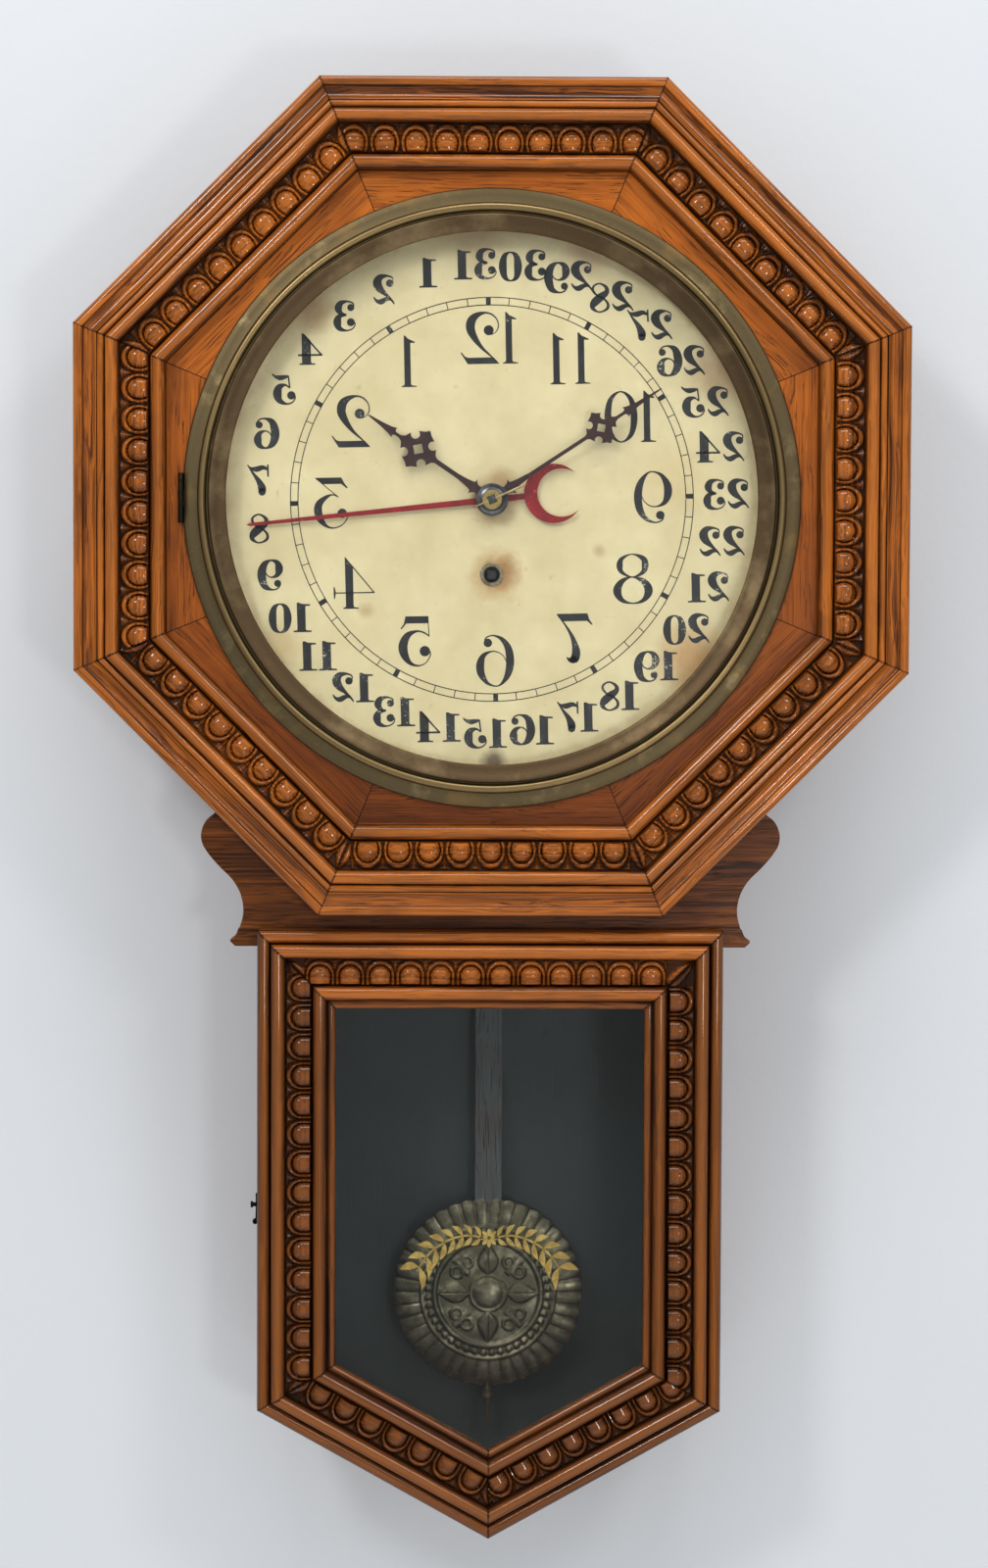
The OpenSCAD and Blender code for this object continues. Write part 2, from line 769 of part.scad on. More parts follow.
// The hook's pivot: a screw in the case's side, through the hook's eye, with a round head outside
module hook_pivot() {
    translate([hook_x - hook_t - gap, -hook_drop, hook_d]) rotate([0, 90, 0]) {
        cylinder(h = gap * 2 + hook_t + board_t / 2, r = screw_r);
        translate([0, 0, -screw_head_h]) cylinder(h = screw_head_h, r = screw_head_r);
    }
}

// Outline of the hook seen from the side, as [depth, height] from its eye, hanging down with its mouth to the wall
module hook_outline() {
    difference() {
        union() {
            circle(r = hook_eye_r);
            translate([-hook_w / 2, -hook_reach - hook_tip]) square([hook_w, hook_reach + hook_tip]);
            translate([0, -hook_reach]) circle(r = hook_tip);
        }
        circle(r = screw_r + running_fit);
        translate([0, -hook_reach]) circle(r = catch_r + gap);
        translate([-hook_w * 2, -hook_reach - catch_r - gap]) square([hook_w * 2, 2 * (catch_r + gap)]);
    }
}

// A length of the hook's strap: its right face at x, between two heights below the eye
module hook_strap(x, low, high, thick) {
    translate([x, -hook_drop, hook_d]) rotate([0, -90, 0]) linear_extrude(thick) intersection() {
        hook_outline();
        translate([-hook_w * 2, low]) square([hook_w * 4, high - low]);
    }
}

module door_hook() {
    color(black_iron) facing_room() {
        hook_strap(hook_x, -hook_jog, hook_eye_r + 1, hook_t);
        hook_strap(hook_x, -hook_jog, -hook_jog + hook_t, hook_x - hook_tail_x + hook_t);
        hook_strap(hook_tail_x, -hook_reach * 2, -hook_jog + hook_t, hook_t);
        // Rolled end
        translate([hook_tail_x - hook_t - 0.3, -hook_drop - hook_reach - hook_tip + 1, hook_d - hook_w / 2])
            cylinder(h = hook_w, r = 1.5);
    }
}

// Dial: a shallow dish with a flange, painted, with holes for the hands and the winding key

module dial_pan() {
    color(cream) facing_room() difference() {
        union() {
            bar([0, 0], dial_r, dial_face - dial_t, dial_seat + dial_t);
            bar([0, 0], flange_r, dial_seat, dial_seat + dial_t);
        }
        bar([0, 0], dial_r - dial_t, dial_face, dial_seat + dial_t + 1);
        bar([0, 0], calendar_pipe_r + 1, 0, panel_front);
        bar(main_at, winding_hole_r, 0, panel_front);
        for (a = [45 : 90 : 315]) bar(polar(dial_screw_r, a), screw_r / 2 + fixed_fit, 0, panel_front);
    }
}

grommet_lip = 1.2;
grommet_t = 0.5;

module winding_grommet() {
    color(brass) facing_room() difference() {
        union() {
            bar(main_at, winding_hole_r + grommet_lip, dial_face, dial_face + grommet_t);
            bar(main_at, winding_hole_r - fixed_fit, dial_face - dial_t, dial_face + grommet_t);
        }
        bar(main_at, winding_hole_r - 0.8, 0, panel_front);
    }
}

// Bezel: a turned brass ring with its glass, hinged at the left

module bezel_section() {
    polygon(concat(
        [[lip_r, bezel_lip], [bezel_wall_r, bezel_lip], [bezel_wall_r, bezel_back - 1.2],
         [bezel_skirt_r, bezel_back - 1.2], [bezel_skirt_r, bezel_back], [bezel_r, bezel_back],
         [bezel_r, bezel_back + 1.2], [bezel_r - 8.3, bezel_back + 2.2]],
        arc([bezel_r - 8.5 - bezel_bead_r, bezel_back + 4.2], bezel_bead_r, 0, 180, 10),
        [[bezel_r - 8.6 - 2 * bezel_bead_r, bezel_back + 4.6], [bezel_r - 9.8 - 2 * bezel_bead_r, bezel_back + 4.6],
         [bezel_r - 10 - 2 * bezel_bead_r, bezel_back + 6.8], [lip_r + 4.5, bezel_lip + 2],
         [lip_r, bezel_lip + 0.9]]));
}

module bezel_ring() {
    color(brass) facing_room() difference() {
        rotate_extrude($fn = 128) bezel_section();
        slab(0, panel_front * 2)
            translate([-bezel_r - 1, -bezel_hinge_h / 2 - gap])
                square([1 + (bezel_r + bezel_hinge_axis[0]) + bezel_barrel_r + gap, bezel_hinge_h + 2 * gap]);
    }
}

module bezel_glass() {
    color(clear_glass) facing_room() bar([0, 0], bezel_glass_r, bezel_glass_back, bezel_glass_back + glass_t);
}

clip_t = 0.8;
clip_count = 6;
clip_w = 10;

module bezel_glass_clips() {
    outer = sqrt(pow(bezel_wall_r, 2) - pow(clip_w / 2, 2)) - fixed_fit;
    color(brass) facing_room()
        for (i = [0 : clip_count - 1]) rotate([0, 0, 360 / clip_count * i + 30])
            slab(bezel_glass_back - clip_t, bezel_glass_back)
                translate([bezel_glass_r - 4, -clip_w / 2]) square([outer - bezel_glass_r + 4, clip_w]);
}

// The leaf fixed to the panel, with the two outer barrels
module bezel_hinge_plate() {
    color(brass) facing_room() difference() {
        union() {
            slab(panel_front - bezel_leaf_t, panel_front)
                translate([bezel_hinge_axis[0] - bezel_barrel_r, -bezel_hinge_h / 2])
                    square([bezel_leaf_w + 0.9 + bezel_barrel_r, bezel_hinge_h]);
            slab(panel_front - bezel_leaf_t, bezel_hinge_axis[1])
                translate([bezel_hinge_axis[0] - bezel_barrel_r, -bezel_hinge_h / 2])
                    square([2 * bezel_barrel_r, bezel_hinge_h]);
            barrel(bezel_hinge_axis, bezel_barrel_r, -bezel_hinge_h / 2, bezel_hinge_h / 2);
        }
        slab(panel_front, panel_front * 2)
            translate([bezel_hinge_axis[0] - 4, -bezel_hinge_h / 6 - barrel_gap])
                square([8, bezel_hinge_h / 3 + 2 * barrel_gap]);
        barrel(bezel_hinge_axis, hinge_pin_r + fixed_fit, -bezel_hinge_h, bezel_hinge_h);
    }
}

// The leaf on the bezel, with the middle barrel
module bezel_hinge_leaf() {
    color(brass) facing_room() difference() {
        union() {
            barrel(bezel_hinge_axis, bezel_barrel_r, -bezel_hinge_h / 6, bezel_hinge_h / 6);
            slab(bezel_back + 0.2, bezel_back + 1.2)
                translate([bezel_hinge_axis[0] + hinge_pin_r + 0.2, -bezel_hinge_h / 6])
                    square([bezel_barrel_r + gap - hinge_pin_r - 0.2, bezel_hinge_h / 3]);
        }
        barrel(bezel_hinge_axis, hinge_pin_r + running_fit, -bezel_hinge_h, bezel_hinge_h);
    }
}

// Hands

// Half of a hand's outline, pointing up: a thorned root, a shaft, a cross of four arms parted by round bites, and
// a barbed spear. k is the size of the cross.
function half_hand(len, at, shaft_w, hub_r, k) = concat(
    [[shaft_w / 2 + 1.2, 0], [shaft_w / 2 + 0.5, hub_r + 1.2], [shaft_w / 2 + 2.2, hub_r + 3.6],
     [shaft_w / 2 + 0.2, hub_r + 3.4], [shaft_w / 2, hub_r + 7], [shaft_w / 2, at - 12 * k],
     [shaft_w / 2 + 0.9 * k, at - 10.2 * k]],
    arc([5.9 * k, at - 5.9 * k], 2.6 * k, 257, 13, 8),
    [[10.2 * k, at - 2 * k], [12.1 * k, at], [10.2 * k, at + 2 * k]],
    arc([5.9 * k, at + 5.9 * k], 2.6 * k, 347, 103, 8),
    [[2 * k, at + 10.2 * k], [0.9, at + 12.4 * k], [0.9, at + 15.4], [1.9, at + 16.4], [3.1, at + 15.9],
     [2.1, at + 19], [1.3, at + 24], [0.35, len]]);

module cross_hand(len, at, shaft_w, hub_r, k) {
    half = half_hand(len, at, shaft_w, hub_r, k);
    difference() {
        union() {
            circle(r = hub_r);
            polygon(concat(half, [for (i = [len(half) - 1 : -1 : 0]) [-half[i][0], half[i][1]]]));
        }
        translate([0, at]) rotate(45) square(5 * k, center = true);
    }
}

hand_hub_r = 9;

module minute_hand() {
    color(dark_brown) facing_room() slab(minute_d, minute_d + hand_t) difference() {
        rotate(minute_angle) cross_hand(minute_len, minute_len - 39.9, 2.1, hand_hub_r - 1.5, 0.84);
        rotate(minute_angle) square(square_w + 2 * fixed_fit, center = true);
    }
}

module hour_hand() {
    color(dark_brown) facing_room() slab(hour_d, hour_d + hand_t) difference() {
        rotate(hour_angle) cross_hand(hour_len, hour_len - 33.4, 2.6, hand_hub_r, 1);
        circle(r = hour_r - pipe_step + fixed_fit);
    }
}

// The calendar hand: a long tapering pointer with a crescent on its tail
module calendar_hand() {
    inner_r = crescent_r - 3.1;
    color(red) facing_room() slab(calendar_d, calendar_d + hand_t) rotate(calendar_angle) difference() {
        union() {
            circle(r = hand_hub_r);
            polygon([[-1.8, 0], [1.8, 0], [0.9, calendar_len - 2], [0, calendar_len], [-0.9, calendar_len - 2]]);
            polygon([[-2, 0], [-1.6, crescent_r - crescent_out - 1.5], [1.6, crescent_r - crescent_out - 1.5],
                [2, 0]]);
            difference() {
                translate([0, -crescent_out]) circle(r = crescent_r);
                translate([0, -crescent_out - 4.3]) circle(r = inner_r);
            }
        }
        circle(r = calendar_pipe_r - pipe_step + fixed_fit);
    }
}

module hand_washer() {
    color(brass) facing_room() slab(washer_d, washer_d + washer_t) difference() {
        circle(r = 5.4);
        rotate(minute_angle) square(square_w + 2 * fixed_fit, center = true);
    }
}

module taper_pin_solid(extra) {
    translate([0, 0, washer_d + washer_t + pin_r + 0.1]) rotate([0, 0, pin_angle]) rotate([0, 90, 0])
        translate([0, 0, -pin_len / 2]) cylinder(h = pin_len, r = pin_r + extra);
}

module taper_pin() {
    color(brass) facing_room() taper_pin_solid(0);
}

// Movement: plates, wheels and pinions

// Outline of a thin-toothed wheel; a tooth points at the angle phase
module wheel_outline(teeth, m, phase) {
    root = teeth * m / 2 - 1.2 * m;
    tip = teeth * m / 2 + 0.85 * m;
    step = 360 / teeth;
    polygon([for (i = [0 : teeth - 1]) let (a = phase + i * step)
        each [polar(root, a - 0.2 * step), polar(tip, a - 0.05 * step), polar(tip, a + 0.05 * step),
            polar(root, a + 0.2 * step)]]);
}

// A wheel with round windows, its middle plane at depth d
module wheel(at, teeth, m, phase, d, t, windows) {
    r = teeth * m / 2;
    hub = max(arbor_r + 2.2, r * 0.24);
    window_r = (r - 2.2 * m - hub) / 2 - 0.6;
    difference() {
        translate([at[0], at[1], 0]) slab(d - t / 2, d + t / 2) difference() {
            wheel_outline(teeth, m, phase);
            for (i = [0 : windows - 1]) rotate(360 / windows * i + phase)
                translate([(r - 2.2 * m + hub) / 2, 0]) circle(r = window_r);
        }
        children();
    }
}

// A lantern pinion: pins between two end discs, either side of the wheel's plane at depth d
module lantern(at, pins, m, phase, d, half) {
    r = pins * m / 2;
    pin = 0.5 * m;
    disc_t = 0.8;
    translate([at[0], at[1], 0]) {
        for (i = [0 : pins - 1])
            bar(polar(r, phase + 360 / pins * i), pin, d - half, d + half);
        for (s = [-1, 1])
            bar([0, 0], r + pin + 0.3, d + s * (half - disc_t / 2) - disc_t / 2, d + s * (half - disc_t / 2) + disc_t / 2);
    }
}

lantern_half = 2;

// An arbor between the plates, with a pivot in each
module arbor(at, r, pivot) {
    bar(at, r, back_front + shoulder, front_back - shoulder);
    bar(at, pivot, back_plate_d, front_front);
}

pivot_r = 0.8;

// Angle that puts a gap of the wheel on the line from one middle to another
function gap_phase(from, to, teeth) = direction(from, to) + 180 / teeth;

module plate_blank(half, d) {
    slab(d, d + plate_t)
        translate([-half, plate_low]) square([2 * half, plate_high - plate_low]);
}

module pillar_holes(d) {
    for (s = [-1, 1], z = pillar_z)
        bar([s * pillar_x, z], 2 + fixed_fit, d - 1, d + plate_t + 1);
}

module pivot_holes(d) {
    for (p = [second_at, third_at, escape_at])
        bar(p, pivot_r + running_fit, d - 1, d + plate_t + 1);
}

winding_pivot_r = 2;
winding_r = 3.4;

module back_plate() {
    color(brass) facing_room() difference() {
        plate_blank(ear_half, back_plate_d);
        pillar_holes(back_plate_d);
        pivot_holes(back_plate_d);
        bar(middle, pivot_r + running_fit, back_plate_d - 1, back_front + 1);
        bar(main_at, winding_pivot_r + running_fit, back_plate_d - 1, back_front + 1);
        bar(verge_at, arbor_r + running_fit, back_plate_d - 1, back_front + 1);
        for (s = [-1, 1], z = movement_screw_z)
            bar([s * movement_screw_x, z], screw_r + fixed_fit, back_plate_d - 1, back_front + 1);
        for (s = [-1, 1])
            bar([s * post_screw_x, post_z], screw_r + fixed_fit, back_plate_d - 1, back_front + 1);
    }
}

// The front plate carries the two studs on which the minute wheel and the day wheel turn
stud_r = 1.5;
stud_cap_r = 2.4;
stud_cap_t = 0.8;

module front_plate() {
    color(brass) facing_room() {
        difference() {
            plate_blank(plate_half, front_plate_d);
            pillar_holes(front_plate_d);
            pivot_holes(front_plate_d);
            bar(middle, centre_r + running_fit, front_plate_d - 1, front_front + 1);
            bar(main_at, winding_r + running_fit, front_plate_d - 1, front_front + 1);
            bar(verge_at, pivot_r + running_fit, front_plate_d - 1, front_front + 1);
        }
        bar(minute_at, stud_r, front_front - 1, hour_wheel_d + lantern_half + gap);
        bar(minute_at, stud_cap_r, hour_wheel_d + lantern_half + gap, hour_wheel_d + lantern_half + gap + stud_cap_t);
        bar(minute_at, stud_r + 1, front_front - 1, cannon_d - wheel_t / 2 - gap);
        bar(day_at, stud_r, front_front - 1, day_d + wheel_t / 2 + gap);
        bar(day_at, stud_cap_r, day_d + wheel_t / 2 + gap, day_d + wheel_t / 2 + gap + stud_cap_t);
        bar(day_at, stud_r + 1, front_front - 1, day_d - wheel_t / 2 - gap);
    }
}

module plate_pillars() {
    nut_t = 2.4;
    color(steel) facing_room()
        for (s = [-1, 1], z = pillar_z) {
            bar([s * pillar_x, z], pillar_r, back_front, front_back);
            bar([s * pillar_x, z], 2, back_plate_d - 1, front_front + nut_t);
            bar([s * pillar_x, z], 3, back_plate_d - 1, back_plate_d);
            translate([s * pillar_x, z, front_front]) cylinder(h = nut_t, r = 3.6, $fn = 6);
        }
}

module movement_cleats() {
    color(pine) facing_room()
        for (s = [-1, 1]) difference() {
            slab(back_t, back_plate_d)
                translate([s * movement_screw_x - cleat_w / 2, plate_low]) square([cleat_w, plate_high - plate_low]);
            for (z = movement_screw_z)
                bar([s * movement_screw_x, z], screw_r + fixed_fit, back_t - 1, back_plate_d + 1);
        }
}

// The mainspring: a flat spiral round the winding arbor, its outer end looped on a pin in the front plate
spring_t = 0.5;
spring_in = winding_r + gap;

module mainspring() {
    steps = 24;
    count = spring_turns * steps;
    grow = (spring_r - spring_in - spring_t) / count;
    inner = [for (i = [0 : count]) polar(spring_in + grow * i, 180 + 360 / steps * i)];
    outer = [for (i = [count : -1 : 0]) polar(spring_in + spring_t + grow * i, 180 + 360 / steps * i)];
    hook = main_at + polar(spring_r + 1.6, 180);
    color(steel) facing_room() {
        translate([main_at[0], main_at[1], 0]) slab(spring_d[0], spring_d[1]) polygon(concat(inner, outer));
        bar(hook, 2, spring_d[0], spring_d[1]);
        bar(hook, 1.2, spring_d[0], front_back);
    }
}

module main_wheel() {
    color(brass) facing_room() {
        wheel(main_at, main_teeth, main_module, gap_phase(main_at, second_at, main_teeth), main_d, 1.4, 5)
            bar(main_at, winding_r + running_fit, 0, case_depth);
        // Stud of the click
        bar(click_at, click_stud_r, main_d + 0.7 - 0.2, click_d[1] + gap);
        bar(click_at, click_stud_r + 0.8, click_d[1] + gap, click_d[1] + gap + 0.6);
    }
}

ratchet_teeth = 20;
ratchet_r = 11;
ratchet_root = 9.6;
ratchet_d = [main_d + 0.7 + gap, main_d + 0.7 + gap + 2];
click_d = ratchet_d;
click_stud_r = 1.2;
click_at = main_at + polar(17.5, 90);

module ratchet_wheel() {
    step = 360 / ratchet_teeth;
    color(steel) facing_room() difference() {
        translate([main_at[0], main_at[1], 0]) slab(ratchet_d[0], ratchet_d[1])
            polygon([for (i = [0 : ratchet_teeth - 1])
                each [polar(ratchet_r, i * step), polar(ratchet_root, i * step + 0.1 * step)]]);
        bar(main_at, winding_r + fixed_fit, 0, case_depth);
    }
}

// The winding arbor: pivots, a thick middle, and a square at the front for the key
winding_square = 4.6;
winding_end = dial_face - dial_t - 1;

module winding_arbor() {
    color(steel) facing_room() {
        bar(main_at, winding_pivot_r, back_plate_d, front_back);
        bar(main_at, winding_r, back_front + shoulder, front_front + 2);
        bar(main_at, winding_square * 0.7, front_front + 2, winding_end - 9);
        translate([main_at[0], main_at[1], winding_end - 9])
            linear_extrude(9) square(winding_square, center = true);
    }
}

// The click: an eye on its stud and a nose that stops just clear of the ratchet's tips
module click() {
    nose = ratchet_r + 0.3;
    color(steel) facing_room() slab(click_d[0], click_d[1]) difference() {
        polygon(concat(arc(click_at, 2.6, -60, 200, 20),
            [main_at + polar(nose + 2, 121), main_at + polar(nose, 122), main_at + polar(nose, 112)]));
        translate(click_at) circle(r = click_stud_r + running_fit);
    }
}

module second_wheel() {
    color(brass) facing_room() {
        wheel(second_at, second_teeth, second_module, gap_phase(second_at, middle, second_teeth), second_d, wheel_t, 5);
        lantern(second_at, second_pins, main_module, direction(second_at, main_at), main_d, lantern_half);
        arbor(second_at, arbor_r, pivot_r);
    }
}

module centre_wheel() {
    color(brass) facing_room() {
        wheel(middle, centre_teeth, centre_module, gap_phase(middle, third_at, centre_teeth), centre_d, wheel_t, 5);
        lantern(middle, centre_pins, second_module, direction(middle, second_at), second_d, lantern_half);
        bar(middle, centre_r, back_front + shoulder, cannon_d + 8);
        bar(middle, pivot_r, back_plate_d, back_front + 1);
    }
}

module third_wheel() {
    color(brass) facing_room() {
        wheel(third_at, third_teeth, third_module, gap_phase(third_at, escape_at, third_teeth), third_d, wheel_t, 5);
        lantern(third_at, third_pins, centre_module, direction(third_at, middle), centre_d, lantern_half);
        arbor(third_at, arbor_r, pivot_r);
    }
}

module escape_wheel() {
    step = 360 / escape_teeth;
    rim = escape_r - 2.4;
    color(brass) facing_room() {
        translate([escape_at[0], escape_at[1], 0]) slab(escape_d - wheel_t / 2, escape_d + wheel_t / 2)
            difference() {
                polygon([for (i = [0 : escape_teeth - 1])
                    each [polar(escape_r, i * step), polar(rim, i * step + 0.12 * step), polar(rim, i * step + 0.8 * step)]]);
                for (i = [0 : 4]) rotate(72 * i) translate([7.2, 0]) circle(r = 3.4);
            }
        lantern(escape_at, escape_pins, third_module, direction(escape_at, third_at), third_d, lantern_half);
        arbor(escape_at, arbor_r * 0.8, pivot_r);
    }
}

// The verge: an anchor over the escape wheel, on an arbor that carries the crutch behind the back plate.
// Its pallets stay this far outside the wheel's tips, so that each may turn by itself.
pallet_clear = 1.0;
pallet_span = 35;
crutch_d = pendulum_depth + 8.5;
crutch_len = 45;
crutch_pin_r = 1;

module verge_and_crutch() {
    pallet_r = escape_r + pallet_clear;
    color(steel) facing_room() {
        slab(escape_d - 1.2, escape_d + 1.2) difference() {
            union() {
                translate(verge_at) circle(r = 3);
                for (s = [-1, 1])
                    polygon([verge_at + [0, 3], verge_at + [s * 8, 0.5],
                        escape_at + dial_polar(pallet_r + 3, -s * (pallet_span + 6)),
                        escape_at + dial_polar(pallet_r - 1, -s * (pallet_span + 5)),
                        escape_at + dial_polar(pallet_r - 1, -s * (pallet_span - 1)),
                        escape_at + dial_polar(pallet_r + 2, -s * (pallet_span - 3)), verge_at + [0, -2.6]]);
            }
            translate(escape_at) circle(r = pallet_r);
        }
        bar(verge_at, arbor_r, crutch_d - 1, front_back - shoulder);
        bar(verge_at, pivot_r, front_back - 1, front_front);
        bar(verge_at, 2.4, crutch_d - 1, crutch_d + 1);
        translate([0, suspension_z, crutch_d]) rotate([90, 0, 0]) cylinder(h = crutch_len, r = 0.9);
        bar([0, suspension_z - crutch_len], crutch_pin_r, pendulum_depth - rod_t / 2 - 1, crutch_d + 0.9);
    }
}

// The post that holds the suspension, screwed to the back of the back plate, with a slit for the spring
post_z = suspension_z + 5.2;
post_half = 2.2;
post_screw_x = 9;
post_slit = 1.3;

module suspension_post() {
    color(brass) facing_room() difference() {
        union() {
            slab(back_plate_d - 2, back_plate_d)
                translate([-post_screw_x - 4, post_z - post_half]) square([2 * post_screw_x + 8, 2 * post_half]);
            slab(pendulum_depth - 4, back_plate_d - 1)
                translate([-4, post_z - post_half]) square([8, 2 * post_half]);
            for (s = [-1, 1])
                bar([s * post_screw_x, post_z], screw_r, back_plate_d - 2, back_front);
        }
        slab(0, pendulum_depth + 4)
            translate([-post_slit / 2, post_z - post_half - 1]) square([post_slit, 2 * post_half + 2]);
    }
}

// The suspension: a thin strip, pinned across the top of the slit, and the block that clamps the rod
strip_w = 5;
strip_t = 0.25;
hang_pin_r = 0.8;

module suspension_spring() {
    block_h = 14;
    color(steel) facing_room() {
        slab(pendulum_depth - strip_w / 2, pendulum_depth + strip_w / 2)
            translate([-strip_t / 2, rod_top + block_h - 2])
                square([strip_t, post_z + post_half + 1.2 - rod_top - block_h + 2]);
        slab(pendulum_depth - rod_t / 2, pendulum_depth + rod_t / 2)
            translate([-4, rod_top]) square([8, block_h]);
        translate([-3, post_z + post_half + swing_clear + hang_pin_r, pendulum_depth]) rotate([0, 90, 0])
            cylinder(h = 6, r = hang_pin_r);
    }
}

module pendulum_rod() {
    color(pine) facing_room() difference() {
        slab(pendulum_depth - rod_t / 2, pendulum_depth + rod_t / 2)
            translate([-rod_w / 2, rod_low]) square([rod_w, rod_top - rod_low]);
        // Slot for the crutch's pin
        slab(0, case_depth)
            translate([-crutch_pin_r - running_fit, suspension_z - crutch_len - 4])
                square([2 * (crutch_pin_r + running_fit), 8]);
        translate([0, rod_low, pendulum_depth]) rotate([-90, 0, 0])
            translate([0, 0, -1]) cylinder(h = 21, r = rating_screw_r + fixed_fit);
    }
}

// The bob: a pressed brass lens with a scalloped rim, rings and a boss, and a channel for the rod
module bob_section() {
    h = bob_t / 2;
    polygon(concat(
        [[0, -h * 0.4], [bob_r * 0.6, -h * 0.4], [bob_r - 1, -0.8], [bob_r, 0], [bob_r - 1, 1], [39.5, h * 0.5],
         [39, h * 0.62], [37.5, h * 0.62]],
        arc([35.5, h * 0.62], 1.4, 0, 180, 6),
        [[33, h * 0.6], [32, h * 0.75], [30.6, h * 0.75], [29.8, h * 0.6], [14, h * 0.78], [10.5, h * 0.62],
         [9.5, h * 0.9], [4, h], [0, h]]));
}

module pendulum_bob() {
    clear = 0.15;
    color(brass) facing_room() difference() {
        translate([0, bob_z, pendulum_depth]) rotate_extrude() bob_section();
        slab(0, pendulum_depth + rod_t / 2 + clear)
            translate([-rod_w / 2 - clear, rod_low - clear]) square([rod_w + 2 * clear, bob_r * 2]);
        translate([0, bob_z - bob_r - 1, pendulum_depth]) rotate([-90, 0, 0])
            cylinder(h = bob_r, r = rating_screw_r + clear);
    }
}

module rating_screw() {
    color(brass) facing_room()
        translate([0, screw_low, pendulum_depth]) rotate([-90, 0, 0])
            cylinder(h = rod_low + 18 - screw_low, r = rating_screw_r);
}

module rating_nut() {
    color(brass) facing_room()
        translate([0, bob_z - bob_r - gap - nut_h, pendulum_depth]) rotate([-90, 0, 0]) difference() {
            union() {
                cylinder(h = nut_h, r = nut_r * 0.7);
                cylinder(h = nut_h * 0.5, r = nut_r);
            }
            translate([0, 0, -1]) cylinder(h = nut_h + 2, r = rating_screw_r + running_fit);
        }
}

// Motion work behind the dial

module minute_arbor() {
    color(brass) facing_room() difference() {
        union() {
            lantern(middle, cannon_pins, cannon_module, direction(middle, minute_at), cannon_d, lantern_half);
            bar(middle, minute_r, cannon_d - lantern_half - 1, minute_d);
            rotate([0, 0, minute_angle]) translate([-square_w / 2, -square_w / 2, minute_d - 1])
                cube([square_w, square_w, arbor_end - minute_d + 1]);
        }
        bar(middle, centre_r + running_fit, 0, cannon_d + 8 + gap);
        taper_pin_solid(fixed_fit);
    }
}

module minute_wheel() {
    color(brass) facing_room() difference() {
        union() {
            wheel(minute_at, minute_teeth, cannon_module, gap_phase(minute_at, middle, minute_teeth), cannon_d, wheel_t, 5);
            lantern(minute_at, minute_pins, minute_module, direction(minute_at, middle), hour_wheel_d, lantern_half);
            bar(minute_at, stud_r + 0.8, cannon_d - wheel_t / 2, hour_wheel_d + lantern_half);
        }
        bar(minute_at, stud_r + running_fit, 0, case_depth);
    }
}

module hour_wheel() {
    color(brass) facing_room() difference() {
        union() {
            wheel(middle, hour_teeth, minute_module, gap_phase(middle, minute_at, hour_teeth), hour_wheel_d, wheel_t, 5);
            lantern(middle, hour_pins, day_module, direction(middle, day_at), day_d, lantern_half);
            bar(middle, hour_r, hour_wheel_d - 2, hour_d);
            bar(middle, hour_r - pipe_step, hour_d - 1, hour_d + hand_t + 0.6);
        }
        bar(middle, hour_in, 0, panel_front);
    }
}

// The day wheel turns once in 24 hours; its pin passes just clear of the calendar wheel's teeth
trip_pin_r = 0.8;

module day_wheel() {
    trip_at = norm(day_at) - calendar_r - trip_pin_r - 0.3;
    color(brass) facing_room() difference() {
        union() {
            wheel(day_at, day_teeth, day_module, gap_phase(day_at, middle, day_teeth), day_d, wheel_t, 5);
            bar(day_at + polar(trip_at, gap_phase(day_at, middle, day_teeth) + 180 / 5), trip_pin_r,
                day_d - wheel_t / 2, calendar_wheel_d + 1);
        }
        bar(day_at, stud_r + running_fit, 0, case_depth);
    }
}

module calendar_wheel() {
    step = 360 / calendar_teeth;
    color(brass) facing_room() difference() {
        union() {
            slab(calendar_wheel_d - wheel_t / 2, calendar_wheel_d + wheel_t / 2)
                polygon([for (i = [0 : calendar_teeth - 1])
                    each [polar(calendar_r, i * step), polar(calendar_r - 2, i * step + 0.4 * step)]]);
            bar(middle, calendar_pipe_r, calendar_wheel_d - 1, calendar_d);
            bar(middle, calendar_pipe_r - pipe_step, calendar_d - 1, calendar_d + hand_t + 0.6);
        }
        bar(middle, calendar_in, 0, panel_front);
    }
}

backboard();
case_side_left();
case_side_right();
case_top();
case_bottom_left();
case_bottom_right();
ear_board();
octagon_panels();
octagon_mouldings();
hanger_plate();
wood_screws();
movement_cleats();
case_hinge_leaves();
hinge_pins();
dial_pan();
winding_grommet();
bezel_hinge_plate();
door_rail_top();
door_stile_left();
door_stile_right();
door_rail_bottom_left();
door_rail_bottom_right();
door_glass();
door_glazing_strips();
door_hinge_leaves();
catch_pin();
door_hook();
bezel_ring();
bezel_glass();
bezel_glass_clips();
bezel_hinge_leaf();
back_plate();
front_plate();
plate_pillars();
mainspring();
main_wheel();
winding_arbor();
ratchet_wheel();
click();
second_wheel();
centre_wheel();
third_wheel();
escape_wheel();
verge_and_crutch();
suspension_post();
suspension_spring();
pendulum_rod();
pendulum_bob();
rating_screw();
rating_nut();
minute_arbor();
minute_wheel();
hour_wheel();
day_wheel();
calendar_wheel();
calendar_hand();
hour_hand();
minute_hand();
hand_washer();
taper_pin();
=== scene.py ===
# A wall clock for a barber's shop. Its dial is drawn backwards and its hands run backwards, so that it reads
# right in a mirror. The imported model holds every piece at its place, and this script gives the pieces their
# looks and their carving.
import math

import bmesh
import bpy
from mathutils import Matrix, Vector


